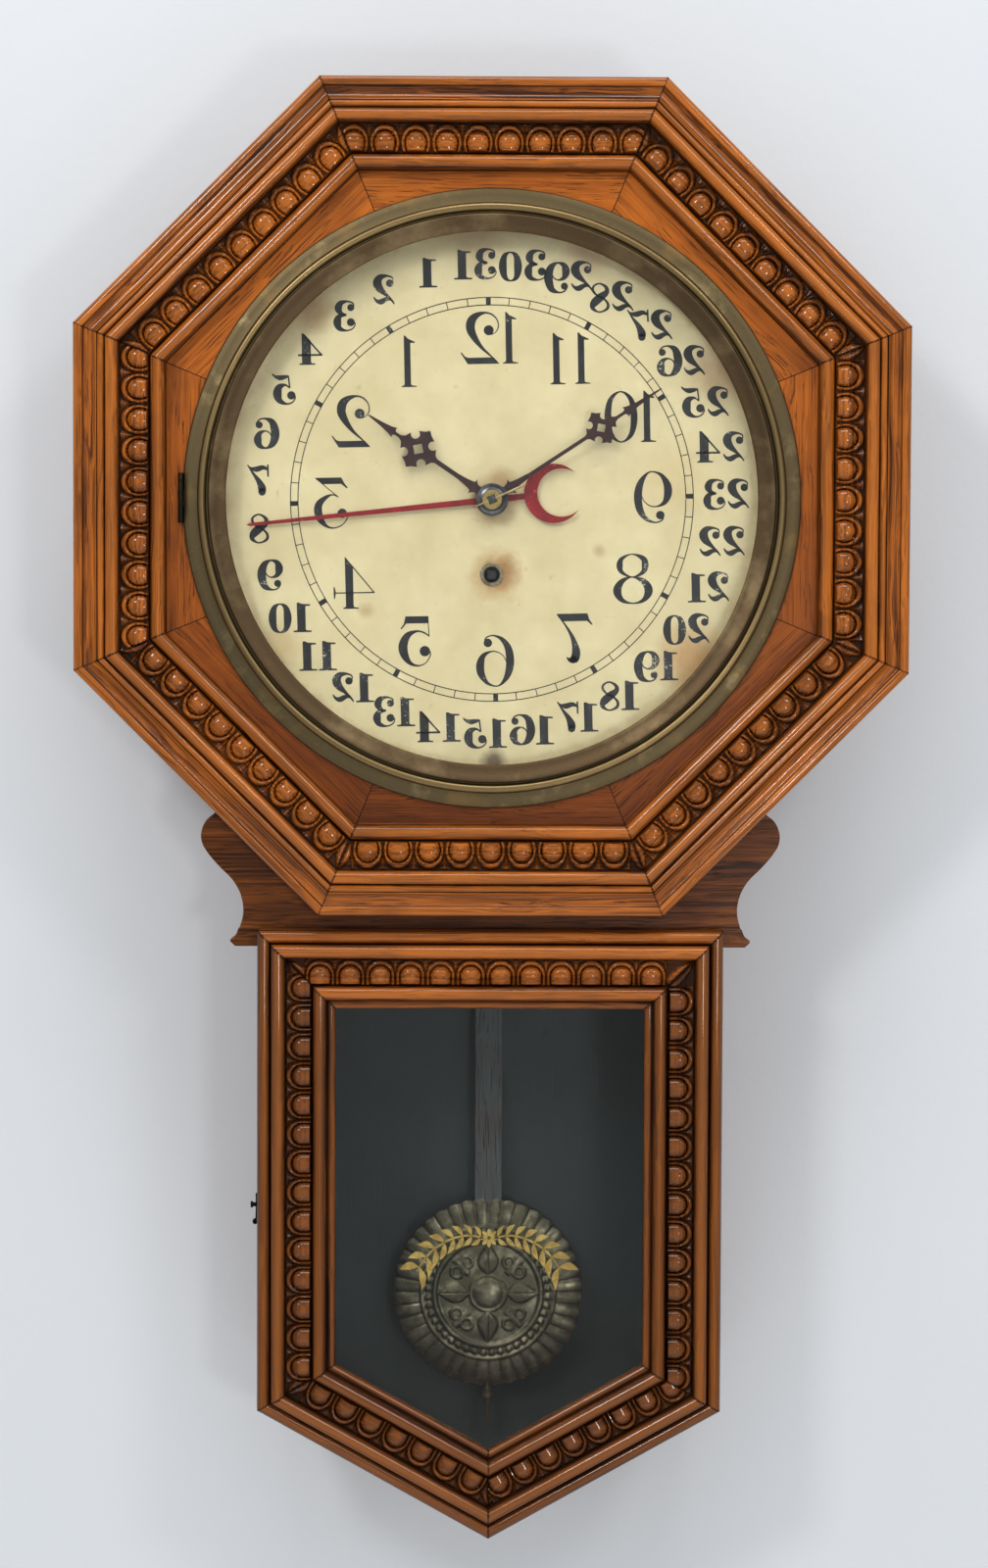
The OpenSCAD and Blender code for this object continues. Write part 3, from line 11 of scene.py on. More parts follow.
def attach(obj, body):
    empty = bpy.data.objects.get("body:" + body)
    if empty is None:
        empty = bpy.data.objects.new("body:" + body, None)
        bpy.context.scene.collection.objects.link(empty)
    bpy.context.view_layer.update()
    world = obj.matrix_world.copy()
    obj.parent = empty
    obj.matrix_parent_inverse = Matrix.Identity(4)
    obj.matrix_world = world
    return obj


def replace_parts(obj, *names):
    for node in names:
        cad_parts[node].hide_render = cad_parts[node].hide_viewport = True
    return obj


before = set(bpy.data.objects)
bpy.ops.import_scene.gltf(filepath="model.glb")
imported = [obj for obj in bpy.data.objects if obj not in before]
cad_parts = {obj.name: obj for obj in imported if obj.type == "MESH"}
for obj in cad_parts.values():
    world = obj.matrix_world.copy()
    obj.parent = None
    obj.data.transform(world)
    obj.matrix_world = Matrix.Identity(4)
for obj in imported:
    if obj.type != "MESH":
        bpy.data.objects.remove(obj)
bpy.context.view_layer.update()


# Case: a box of oak boards with a pine back, glued and nailed. The back stays as sawn, the oak is stained
# golden brown and varnished, and its open pores keep the darker stain.

def rgb(r, g, b):
    """A colour as it looks on the screen, each part from 0 to 255."""
    linear = [v / 255 / 12.92 if v < 11 else ((v / 255 + 0.055) / 1.055) ** 2.4 for v in (r, g, b)]
    return (*linear, 1.0)


def node(tree, kind, inputs=None, **settings):
    """A shader node with its settings made and its inputs set to values or linked to outputs."""
    made = tree.nodes.new("ShaderNode" + kind)
    for name, value in settings.items():
        setattr(made, name, value)
    for key, value in (inputs or {}).items():
        if isinstance(value, bpy.types.NodeSocket):
            tree.links.new(value, made.inputs[key])
        else:
            made.inputs[key].default_value = value
    return made


def calc(tree, operation, *values, clamp=False):
    return node(tree, "Math", dict(enumerate(values)), operation=operation, use_clamp=clamp).outputs[0]


def times(tree, a, b, clamp=False):
    return calc(tree, "MULTIPLY", a, b, clamp=clamp)


def plus(tree, a, b):
    return calc(tree, "ADD", a, b)


def minus(tree, a, b, clamp=False):
    return calc(tree, "SUBTRACT", a, b, clamp=clamp)


def between(tree, value, low, high, to_low=0.0, to_high=1.0):
    """The value's place between low and high, held to the ends."""
    return node(tree, "MapRange", {0: value, 1: low, 2: high, 3: to_low, 4: to_high}).outputs[0]


def mixed(tree, share, a, b):
    return node(tree, "Mix", {0: share, 6: a, 7: b}, data_type="RGBA").outputs[2]


def stretched(tree, vector, scale):
    return node(tree, "VectorMath", {0: vector, 1: scale}, operation="MULTIPLY").outputs[0]


def shifted(tree, vector, step):
    return node(tree, "VectorMath", {0: vector, 1: step}, operation="ADD").outputs[0]


def length(tree, vector):
    return node(tree, "VectorMath", {0: vector}, operation="LENGTH").outputs["Value"]


def part(tree, vector, axis):
    return node(tree, "SeparateXYZ", {0: vector}).outputs[axis]


def noise(tree, vector, scale, detail=3.0, rough=0.55):
    """Noise between 0 and 1, with grains 1 / scale millimetres long. A tuple holds a scale for each axis."""
    place = stretched(tree, vector, scale if isinstance(scale, tuple) else (scale,) * 3)
    inputs = {"Vector": place, "Scale": 1.0, "Detail": detail, "Roughness": rough}
    return node(tree, "TexNoise", inputs).outputs[0]


def group(name, inputs, outputs):
    """An empty shader group with its sockets: its tree, its inputs and the node that takes its outputs."""
    tree = bpy.data.node_groups.new(name, "ShaderNodeTree")
    kinds = {float: "NodeSocketFloat", tuple: "NodeSocketColor", list: "NodeSocketVector"}
    for label, value in inputs.items():
        socket = tree.interface.new_socket(name=label, in_out="INPUT", socket_type=kinds[type(value)])
        socket.default_value = value
    for label, value in outputs.items():
        tree.interface.new_socket(name=label, in_out="OUTPUT", socket_type=kinds[type(value)])
    return tree, tree.nodes.new("NodeGroupInput").outputs, tree.nodes.new("NodeGroupOutput")


def grouped(tree, made_group, inputs):
    """A shader group placed in a material."""
    return node(tree, "Group", inputs, node_tree=made_group).outputs


# One group makes all the oak. X of its board vector runs along the grain, in millimetres.
oak_grain, into, out = group(
    "oak_grain",
    {"Board": [0.0, 0.0, 0.0], "Light": rgb(196, 118, 50), "Dark": rgb(92, 47, 20), "Recess": 0.0,
     "Ridge": 0.0, "Varnish": 0.3},
    {"Color": rgb(0, 0, 0), "Roughness": 0.0, "Height": 0.0, "Coat": 0.0})
tree = oak_grain
bend = noise(tree, into["Board"], (0.012, 0.05, 0.05), 2.0)
bend = times(tree, minus(tree, bend, 0.5), 9.0)
bent = shifted(tree, into["Board"], node(tree, "CombineXYZ", {1: bend, 2: bend}).outputs[0])
broad = noise(tree, bent, (0.004, 0.14, 0.14), 4.0)
streak = noise(tree, bent, (0.007, 0.7, 0.7), 4.0, 0.6)
fine = noise(tree, bent, (0.016, 1.35, 1.35), 2.0)
blotch = noise(tree, into["Board"], (0.02, 0.03, 0.03), 3.0)
dark = plus(tree, times(tree, broad, 0.45), times(tree, streak, 0.55))
dark = between(tree, dark, 0.41, 0.61)
# Ridges keep less dark grain: rubbed wear, and a painted highlight on the ridge tops.
rubbed_and_lit = minus(tree, 1.0, times(tree, into["Ridge"], 1.3), clamp=True)
dark = times(tree, dark, between(tree, rubbed_and_lit, 0.0, 1.0, 0.6, 1.0))
pores = between(tree, fine, 0.55, 0.65)
wood = mixed(tree, dark, into["Light"], into["Dark"])
pores = times(tree, pores, between(tree, rubbed_and_lit, 0.0, 1.0, 0.5, 0.72))
wood = mixed(tree, pores, wood, rgb(42, 18, 6))
wood = mixed(tree, times(tree, between(tree, blotch, 0.48, 0.75), 0.5), wood, rgb(70, 34, 13))
# Painted highlight: ridge tops lighten towards a pale orange.
wood = mixed(tree, times(tree, into["Ridge"], 0.28), wood, rgb(214, 128, 52))
# Recesses darken nearly to black: stain in the hollows, and painted shade.
deep = times(tree, into["Recess"], between(tree, blotch, 0.2, 0.6, 0.75, 1.0))
wood = mixed(tree, times(tree, deep, 0.93), wood, rgb(26, 13, 6))
tree.links.new(wood, out.inputs["Color"])
gloss = plus(tree, between(tree, blotch, 0.3, 0.7, 0.27, 0.36), times(tree, pores, 0.15))
gloss = plus(tree, gloss, times(tree, into["Recess"], 0.2))
tree.links.new(gloss, out.inputs["Roughness"])
height = plus(tree, times(tree, pores, -0.6), times(tree, streak, -0.5))
tree.links.new(height, out.inputs["Height"])
bare = minus(tree, 1.0, times(tree, deep, 0.95))
tree.links.new(times(tree, into["Varnish"], bare), out.inputs["Coat"])


def material(name, **constants):
    """A new material; returns its tree and its Principled shader with the constant values set."""
    made = bpy.data.materials.new(name)
    made.use_nodes = True
    shader = made.node_tree.nodes["Principled BSDF"]
    for key, value in constants.items():
        shader.inputs[key.replace("_", " ")].default_value = value
    return made, made.node_tree, shader


def finish(tree, shader, colour, roughness):
    tree.links.new(colour, shader.inputs["Base Color"])
    tree.links.new(roughness, shader.inputs["Roughness"])


def bump_by(tree, shader, height, strength, distance):
    """Raises the shader's surface by a height, as much as the distance in metres where the strength is 1."""
    bump = node(tree, "Bump", {"Strength": strength, "Distance": distance, "Height": height})
    tree.links.new(bump.outputs[0], shader.inputs["Normal"])


def connect(tree, shader, outputs, bump=0.3, distance=0.0002):
    """Feeds a group's colour, roughness, coat and height to the shader."""
    finish(tree, shader, outputs["Color"], outputs["Roughness"])
    if "Coat" in outputs:
        tree.links.new(outputs["Coat"], shader.inputs["Coat Weight"])
    bump_by(tree, shader, outputs["Height"], bump, distance)


def object_mm(tree):
    """The place on the clock, in millimetres."""
    return stretched(tree, node(tree, "TexCoord").outputs["Object"], (1000, 1000, 1000))


def oak(name, turn, shift, light, dark, coat=0.25):
    """Oak whose grain runs along a line turned from X towards Z, in degrees."""
    made, tree, shader = material(name, Coat_Roughness=0.1, Specular_IOR_Level=0.15)
    board = node(tree, "VectorRotate", {"Vector": object_mm(tree), "Angle": math.radians(turn)},
                 rotation_type="Y_AXIS").outputs[0]
    board = shifted(tree, board, (shift, shift * 0.7, shift * 0.3))
    inputs = {"Board": board, "Light": light, "Dark": dark, "Varnish": coat}
    connect(tree, shader, grouped(tree, oak_grain, inputs))
    return made


def dress(made, *names):
    """Gives CAD nodes their material."""
    for name in names:
        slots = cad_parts[name].data.materials
        slots.clear()
        slots.append(made)


door_half = 130.0
point_rise = 72.7
slope = math.degrees(math.atan2(point_rise, door_half))
for name, turn, shift, boards in (("oak_upright", 90, 210, ("case_side_left", "case_side_right")),
                                  ("oak_level", 0, 430, ("case_top",)),
                                  ("oak_slope_left", -slope, 610, ("case_bottom_left",)),
                                  ("oak_slope_right", slope, 770, ("case_bottom_right",))):
    dress(oak(name, turn, shift, rgb(158, 86, 31), rgb(72, 35, 12)), *boards)
# The back's inner face, which shows through the door's glass, is coloured a dark blue grey; its blue-grey
# lift is a painted reflection of the room in the glass.
back_wood = oak("pine_back", 90, 950, rgb(120, 92, 60), rgb(84, 60, 36), coat=0.0)
tree, shader = back_wood.node_tree, back_wood.node_tree.nodes["Principled BSDF"]
spot = object_mm(tree)
inner_face = between(tree, part(tree, spot, "Y"), -7.9, -7.5, 1.0, 0.0)
dark_face_and_reflection = mixed(tree, noise(tree, spot, 0.05, 4.0), rgb(58, 62, 62), rgb(66, 70, 69))
tree.links.new(mixed(tree, inner_face, shader.inputs["Base Color"].links[0].from_socket, dark_face_and_reflection),
               shader.inputs["Base Color"])
dress(back_wood, "backboard")
dress(oak("pine_blocks", 90, 1150, rgb(150, 114, 72), rgb(112, 78, 44), coat=0.0), "movement_cleats")


# Hanging plate and screws: a strip of rolled steel let in behind the top edge, with one hole for the wall
# screw. Bare metals share one group: a clean colour, a darker film in patches, and fine scratches.
metal_film, into, out = group(
    "metal_film",
    {"Place": [0.0, 0.0, 0.0], "Clean": rgb(170, 150, 95), "Film": rgb(90, 80, 50), "Cover": 0.5,
     "Size": 0.12, "Gloss": 0.3},
    {"Color": rgb(0, 0, 0), "Roughness": 0.0, "Height": 0.0})
tree = metal_film
place = node(tree, "VectorMath", {0: into["Place"], "Scale": into["Size"]}, operation="SCALE").outputs[0]
cloud = noise(tree, place, 1.0, 6.0, 0.6)
spots = noise(tree, into["Place"], 0.9, 3.0, 0.6)
grit = noise(tree, into["Place"], 3.0, 2.0)
edge_low = minus(tree, 0.72, times(tree, into["Cover"], 0.5))
cover = between(tree, cloud, minus(tree, edge_low, 0.14), plus(tree, edge_low, 0.1))
shade = mixed(tree, cover, into["Clean"], into["Film"])
shade = mixed(tree, times(tree, between(tree, spots, 0.6, 0.75), 0.45), shade, rgb(45, 36, 24))
tree.links.new(shade, out.inputs["Color"])
rough = plus(tree, into["Gloss"], times(tree, cover, 0.16))
rough = plus(tree, rough, between(tree, grit, 0.3, 0.7, -0.04, 0.05))
tree.links.new(rough, out.inputs["Roughness"])
height = plus(tree, times(tree, cloud, 0.5), times(tree, grit, 0.3))
tree.links.new(height, out.inputs["Height"])


def metal(name, clean, film, cover, gloss, size=0.12, bump=0.15):
    made, tree, shader = material(name, Metallic=1.0)
    inputs = {"Place": object_mm(tree), "Clean": clean, "Film": film, "Cover": cover, "Gloss": gloss,
              "Size": size}
    connect(tree, shader, grouped(tree, metal_film, inputs), bump, 0.0001)
    return made


dress(metal("hanger_steel", rgb(112, 112, 114), rgb(70, 58, 48), 0.7, 0.42), "hanger_plate")
dress(metal("screw_steel", rgb(120, 118, 114), rgb(74, 62, 50), 0.6, 0.38), "wood_screws")


# Movement: brass plates and wheels with steel arbors, riveted and pinned together and screwed to two blocks
# of wood. The brass has dulled to a soft yellow brown.
plate_brass = metal("plate_brass", rgb(206, 176, 104), rgb(150, 118, 62), 0.4, 0.26, 0.06)
dress(plate_brass, "back_plate", "front_plate", "plate_pillars", "main_wheel", "ratchet_wheel",
      "second_wheel", "centre_wheel", "third_wheel", "suspension_post", "minute_wheel", "hour_wheel",
      "day_wheel", "calendar_wheel")
# The winding arbor's steel is painted dark, as painted shade inside the winding hole.
dress(metal("arbor_steel_painted_shade", rgb(84, 84, 86), rgb(44, 42, 40), 0.5, 0.34), "winding_arbor")
dress(metal("steel", rgb(120, 122, 126), rgb(66, 62, 58), 0.5, 0.3), "minute_arbor", "click",
      "escape_wheel", "verge_and_crutch")
dress(metal("spring_steel", rgb(92, 98, 116), rgb(64, 60, 62), 0.4, 0.22), "mainspring", "suspension_spring")


# Pendulum: a flat wood rod, coloured a dim blue grey as painted shade and painted reflection of the glass,
# and a bob pressed from thin brass over lead. The bob has a scalloped rim, a ring of beads between two plain
# rings, four leaves with scrolls between them, and a boss in the middle.
def settle(bm, name, body, made_material, smooth=True, sharp=None):
    """Turns a bmesh into a piece on a body, smooth apart from edges sharper than the angle given."""
    if smooth:
        for face in bm.faces:
            face.smooth = True
        for edge in bm.edges:
            if sharp and edge.is_manifold and edge.calc_face_angle(0) > math.radians(sharp):
                edge.smooth = False
    mesh = bpy.data.meshes.new(name)
    bm.to_mesh(mesh)
    bm.free()
    mesh.materials.append(made_material)
    piece = bpy.data.objects.new(name, mesh)
    bpy.context.scene.collection.objects.link(piece)
    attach(piece, body)
    return piece


def at(x, depth, z):
    """A point in metres from millimetres to the right, out from the wall and up."""
    return Vector((x / 1000, -depth / 1000, z / 1000))


def spun(bm, line, steps, z=0.0, closed=False):
    """Turns a line of radius and depth about an axis through the wall, at a height."""
    verts = [bm.verts.new(at(r, d, z)) for r, d in line]
    edges = [bm.edges.new(pair) for pair in zip(verts, verts[1:] + verts[:1] * closed)]
    bmesh.ops.spin(bm, geom=verts + edges, cent=at(0, 0, z), axis=(0, 1, 0), dvec=(0, 0, 0),
                   angle=2 * math.pi, steps=steps, use_merge=True, use_duplicate=False)


def solid_ring(section, steps):
    bm = bmesh.new()
    spun(bm, section, steps, closed=True)
    bmesh.ops.remove_doubles(bm, verts=bm.verts, dist=1e-6)
    bmesh.ops.recalc_face_normals(bm, faces=bm.faces)
    return bm


def dome(x):
    """Height of a round ridge at x, from -1 to 1 across it."""
    return math.sqrt(max(0.0, 1 - x * x))


bob_z = -460
bob_r = 55.7
bob_plane = 22.0
scallops = 40
scallop_start = 40.2
outer_ring, bead_ring, inner_ring = 38.9, 35.4, 31.3
bead_count = 44
leaf_start = 11.5
boss_ring = 10.2


def bob_relief(r, angle):
    """Depth of the bob's face above its plain lens shape."""
    if r > scallop_start:
        lobe = angle * scallops / (2 * math.pi)
        fold = abs((lobe % 1.0) - 0.5) * 2
        out = (r - scallop_start) / (bob_r - scallop_start)
        rise = 1.5 * dome(fold) * (0.35 + 0.65 * out) - 0.9 * out * out
        groove = abs(((lobe + 0.5) % 1.0) - 0.5)
        return rise - (0.25 if groove < 0.06 else 0.0)
    if r > outer_ring - 1.3:
        return 1.3 * dome((r - outer_ring) / 1.3)
    if r > inner_ring + 1.9:
        bead = ((angle * bead_count / (2 * math.pi)) % 1.0 - 0.5) * 5.0
        away = math.hypot(bead, r - bead_ring) / 2.1
        return 0.2 + 1.7 * dome(away) if away < 1 else 0.2
    if r > inner_ring - 1.9:
        return 1.9 * dome((r - inner_ring) / 1.9)
    if r > leaf_start:
        quarter = (angle + math.pi / 4) % (math.pi / 2) - math.pi / 4
        side = r * math.sin(quarter)
        along = (r * math.cos(quarter) - leaf_start) / 17.5
        wide = 5.6 * math.sin(math.pi * min(1.0, max(0.0, along)) ** 0.75) + 0.6
        leaf = 1.9 * dome(side / wide) if abs(side) < wide else 0.0
        vein = 0.7 if abs(side) < 0.5 and leaf > 0 else 0.0
        diagonal = (angle % (math.pi / 2)) - math.pi / 4
        u = r * math.sin(diagonal)
        v = r * math.cos(diagonal) - 21.5
        curl = math.hypot(abs(u) - 4.2, v) - 3.2
        scroll = 1.1 * dome(curl / 1.1) if abs(curl) < 1.1 else 0.0
        petal = 1.2 * dome(u / 2.0) if abs(u) < 2.0 and abs(v) < 6 else 0.0
        lines = 0.14 * math.sin(r * 4.2) if leaf == 0 else 0.1 * math.sin(side * 5 + along * 22)
        return max(leaf - vein, scroll, petal, 0.0) + lines
    if r > 9.0:
        return dome((r - boss_ring) / 1.3)
    return 2.4 * dome(r / 9.4)


rings = [0.05] + [0.62 * i for i in range(1, 90)] + [bob_r]
lens = [(r, bob_plane + 0.5 + 5.2 * dome(r / 57.5)) for r in rings]
lens += [(bob_r - 0.4, bob_plane - 0.4), (34, bob_plane - 3.1), (8.6, bob_plane - 3.1)]
bm = bmesh.new()
spun(bm, lens, scallops * 11, bob_z)
for v in bm.verts:
    x, z = v.co.x * 1000, v.co.z * 1000 - bob_z
    r = math.hypot(x, z)
    if -v.co.y * 1000 > bob_plane + 0.4:
        angle = math.atan2(z, x)
        v.co.y -= bob_relief(r, angle) / 1000
        if r > 46:
            lobe = (angle * scallops / (2 * math.pi)) % 1.0
            pull = 1 - 0.022 * abs(lobe - 0.5) * 2 * (r - 46) / 9.7
            v.co.x, v.co.z = x * pull / 1000, (z * pull + bob_z) / 1000
bmesh.ops.remove_doubles(bm, verts=bm.verts, dist=2e-6)
bmesh.ops.recalc_face_normals(bm, faces=bm.faces)
bob_brass = metal("bob_brass", rgb(170, 160, 132), rgb(96, 90, 70), 0.55, 0.3, 0.09, 0.25)
bob = settle(bm, "pressed_bob", "pendulum", bob_brass)
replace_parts(bob, "pendulum_bob")
dress(metal("rating_brass", rgb(160, 140, 88), rgb(96, 82, 50), 0.5, 0.34), "rating_screw", "rating_nut")
# The rod's dim blue grey is painted shade and painted reflection of the glass in front of it.
dress(oak("rod_wood", 90, 1330, rgb(92, 95, 94), rgb(88, 90, 90), coat=0.05), "pendulum_rod")


# Ear board: one oak board that joins the octagon to the drop, its grain level, its two ends sawn to a round
# ear, a narrow waist and a small pointed foot. It is glued across the front edges of the case.
def through(points, steps):
    """Points on a smooth line through the points given."""
    line = []
    ends = [points[0]] + points + [points[-1]]
    for i in range(len(points) - 1):
        a, b, c, d = ends[i:i + 4]
        for k in range(steps):
            t = k / steps
            line.append(tuple(0.5 * (2 * q + (r - p) * t + (2 * p - 5 * q + 4 * r - s) * t * t
                                     + (3 * q - p - 3 * r + s) * t ** 3) for p, q, r, s in zip(a, b, c, d)))
    return line + [points[-1]]


def thicken(bm, verts, thickness):
    """A plate from its flat outline, made thicker towards the room by millimetres."""
    pulled = bmesh.ops.extrude_face_region(bm, geom=[bm.faces.new(verts)])
    moved = [v for v in pulled["geom"] if isinstance(v, bmesh.types.BMVert)]
    bmesh.ops.translate(bm, verts=moved, vec=(0, -thickness / 1000, 0))
    bmesh.ops.recalc_face_normals(bm, faces=bm.faces)


board_back, board_front = 84, 96
ear = through([(24.0, -175.0), (29.6, -179.8), (32.3, -186.5), (31.6, -193.0), (27.4, -199.6), (21.6, -206.2),
               (15.2, -212.6), (10.9, -219.6), (8.9, -227.0), (9.0, -233.6), (10.8, -240.0)], 5)
ear += through([(11.6, -240.6), (13.0, -244.2), (16.1, -246.8)], 3) + [(15.9, -248.0), (13.2, -250.4)]
bm = bmesh.new()
right = [(door_half + x, z) for x, z in ear]
outline = right + [(-x, z) for x, z in reversed(right)]
thicken(bm, [bm.verts.new(at(x, board_back, z)) for x, z in outline], board_front - board_back)
rims = [e for e in bm.edges if all(abs(v.co.y + board_front / 1000) < 1e-6 for v in e.verts)]
bmesh.ops.bevel(bm, geom=rims, offset=0.0007, offset_type="OFFSET", segments=2, profile=0.5, affect="EDGES",
                material=-1)
# The ear board's oak is painted darker than the case's, as painted shade under the octagon.
ears = settle(bm, "ear_board_sawn", "case", oak("ear_oak_painted_shade", 0, 1500, rgb(138, 75, 25), rgb(56, 28, 9)),
              smooth=False)
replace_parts(ears, "ear_board")


# Octagon boards: eight flat oak boards, mitred and glued into a ring that carries dial and bezel. Each has
# its grain along its own side, the mitres show as dark lines, and the boards are painted darker towards the
# bottom as painted shade.
panel_oak, tree, shader = material("panel_oak", Coat_Roughness=0.08, Specular_IOR_Level=0.15)
spot = object_mm(tree)
axes = node(tree, "SeparateXYZ", {0: spot}).outputs
turn = calc(tree, "ARCTAN2", axes["X"], axes["Z"])
eighth = times(tree, turn, 8 / (2 * math.pi))
side = calc(tree, "ROUND", eighth)
board = node(tree, "VectorRotate", {"Vector": spot, "Angle": times(tree, side, -math.pi / 4)},
             rotation_type="Y_AXIS").outputs[0]
moved_on = times(tree, side, 173.0)
board = shifted(tree, board, node(tree, "CombineXYZ", {0: moved_on, 2: moved_on}).outputs[0])
off_mitre = minus(tree, 0.5, calc(tree, "ABSOLUTE", minus(tree, eighth, side)))
off_mitre = times(tree, times(tree, off_mitre, length(tree, spot)), math.pi / 4)
joint = between(tree, off_mitre, 0.15, 0.5, 1.0, 0.0)
# Painted shade: the boards' colours darken from the top of the octagon down to its bottom.
low = between(tree, axes["Z"], 150.0, -190.0)
connect(tree, shader, grouped(tree, oak_grain, {
    "Board": board, "Light": mixed(tree, low, rgb(212, 116, 36), rgb(128, 63, 19)),
    "Dark": mixed(tree, low, rgb(178, 92, 28), rgb(98, 46, 14)), "Recess": joint, "Varnish": 0.25}))
dress(panel_oak, "octagon_panels")


# Octagon mouldings: eight lengths of carved oak, mitred round the boards and wrapped over their outer edges.
# From outside in: a flat strip, a hollow, a small bead, a roll, a band of eggs in U-shaped frames, and a
# plain bead.
def carved(name, light, dark):
    """Oak of a carved length, with its grain and its wear and painted shading taken from the mesh."""
    made, tree, shader = material(name, Coat_Roughness=0.06, Specular_IOR_Level=0.12)
    board = node(tree, "Attribute", attribute_name="board").outputs["Vector"]
    wear_and_shading = node(tree, "Attribute", attribute_name="wear_and_shading").outputs["Fac"]
    connect(tree, shader, grouped(tree, oak_grain, {
        "Board": board, "Light": light, "Dark": dark, "Recess": times(tree, wear_and_shading, -1.0, clamp=True),
        "Ridge": times(tree, wear_and_shading, 1.0, clamp=True), "Varnish": 0.62}))
    return made


octagon_oak = carved("octagon_oak", rgb(196, 108, 34), rgb(66, 30, 9))
cell = 0.56
egg_middle = 5.4


def egg_cell(p, q, pitch, band, curl, size=1.0):
    """Height and a wear-and-shading value inside one pitch of the band: p along it from the egg's middle, q
    out from its inner edge. The value gives the egg a painted highlight on top and painted shade round it.
    With more curl the egg and its frame close in towards the inner edge."""
    low = egg_middle
    rise = q - low if q > low else (low - q) * 0.8 * curl
    inside = math.hypot(p / (pitch * 0.375 * size), rise / (band * 0.42))
    outside = math.hypot(p / (pitch * 0.472), (q - low if q > low else (low - q) * curl) / (band * 0.63))
    frame_h = 2.7
    if inside < 0.905:
        flat = min(1.0, max(0.0, (q - 0.35) / 0.7))
        return 4.5 * dome(inside / 0.94) ** 0.85 * flat + 0.2, (0.5 - inside * 0.6) if flat > 0.8 else -0.7
    if inside < 1.0:
        return 0.0, -1.0
    if outside < 1.0:
        over = (inside - 1.0) / ((inside - 1.0) + (1.0 - outside) + 1e-6)
        top = dome(2 * over - 1) ** 0.7
        return frame_h * top * min(1.0, q / 0.6 + 0.3), 0.25 * top - 0.45 * (1 - top) - 0.1
    gap = pitch / 2 - abs(p)
    reach = max(0.0, (q - band * 0.52) / (band * 0.45))
    if reach > 0 and gap < 2.6 * reach:
        ridge = 1 - gap / (2.6 * reach)
        return 1.5 * ridge, -0.35 - 0.4 * (1 - ridge)
    return 0.0, -1.0


def leaf_cell(off, q, band):
    """Half of the leaf that lies on a mitre: off is the distance from the mitre."""
    along = min(1.0, max(0.0, (q - 0.6) / (band - 1.2)))
    wide = 3.9 * math.sin(math.pi * along) ** 0.6 + 0.2
    if off > wide:
        return 0.0, -0.95
    x = off / wide
    lobe = 2.3 * dome(2 * x - 0.9) if 0.0 < x else 0.0
    vein = -0.8 if abs(off - 0.9) < 0.35 else 0.0
    return max(0.3, lobe), vein + 0.1 * lobe - 0.3


def carved_length(name, body, made_oak, outline, band, origin, along, inward, ends, eggs, shift, curl):
    """One length of moulding, its middle at the origin. The outline lists distance in from the outer edge,
    depth and a wear-and-shading value, and the rows of the band come after the outline's point where the band
    starts. The ends hold half the length and the corner's angle at each end, and the eggs are given by their
    middles."""
    (first, ground_a), (last, ground_b) = band
    rows = []
    for t, d, w in outline:
        rows.append((t, d, w, False))
        if (t, d) == band[0]:
            count = int((last - first) / cell)
            for k in range(1, count):
                ground = ground_a + (ground_b - ground_a) * k / count
                rows.append((first + (last - first) * k / count, ground, 0.0, True))
    rows.append(rows[0])
    (reach_a, corner_a), (reach_b, corner_b) = ends
    columns = int((reach_a + reach_b) / cell)
    pitch = abs(eggs[1] - eggs[0])
    width = last - first
    bm = bmesh.new()
    bmesh.ops.create_grid(bm, x_segments=columns, y_segments=len(rows) - 1, size=0.5)
    board = bm.verts.layers.float_vector.new("board")
    wear_and_shading_layer = bm.verts.layers.float.new("wear_and_shading")
    for v in bm.verts:
        i = round((v.co.x + 0.5) * columns)
        t, d, w, in_band = rows[round((v.co.y + 0.5) * (len(rows) - 1))]
        s = -reach_b + (reach_a + reach_b) * i / columns
        off_a = (reach_a - t / math.tan(corner_a / 2) - s) * math.sin(corner_a / 2)
        off_b = (reach_b - t / math.tan(corner_b / 2) + s) * math.sin(corner_b / 2)
        off = min(off_a, off_b)
        if in_band:
            near = min(range(len(eggs)), key=lambda n: abs(s - eggs[n]))
            p = s - eggs[near]
            q = last - t
            if abs(p) <= pitch * 0.466:
                size = 1.0 + 0.025 * math.sin(near * 7.3 + shift)
                h, w = egg_cell(p, q, pitch, width, curl, size)
            elif abs(p) <= pitch / 2 + 0.3:
                h, w = egg_cell(p, q, pitch, width, curl)
            else:
                h, w = leaf_cell(max(0.0, off), q, width)
            d += h
        if off < 0.45:
            w = -0.9
        v[board] = Vector((s + shift * 61, t + shift * 17, d + shift * 29))
        v[wear_and_shading_layer] = w
        v.co = origin + along * (s / 1000) - Vector((0, d / 1000, 0)) + inward * (t / 1000)
    bmesh.ops.remove_doubles(bm, verts=bm.verts, dist=1e-6)
    for reach, corner, way in ((reach_a, corner_a, 1), (reach_b, corner_b, -1)):
        normal = along * (way * math.sin(corner / 2)) + inward * math.cos(corner / 2)
        tip = origin + along * (way * reach / 1000)
        bmesh.ops.bisect_plane(bm, geom=bm.verts[:] + bm.edges[:] + bm.faces[:], dist=1e-7, plane_co=tip,
                               plane_no=normal, clear_outer=True)
        rim = [e for e in bm.edges if e.is_boundary
               and all(abs((v.co - tip).dot(normal)) < 1e-5 for v in e.verts)]
        for e in rim:
            e.smooth = False
        bmesh.ops.edgeloop_fill(bm, edges=rim)
    bmesh.ops.recalc_face_normals(bm, faces=bm.faces)
    return settle(bm, name, body, made_oak, sharp=58)


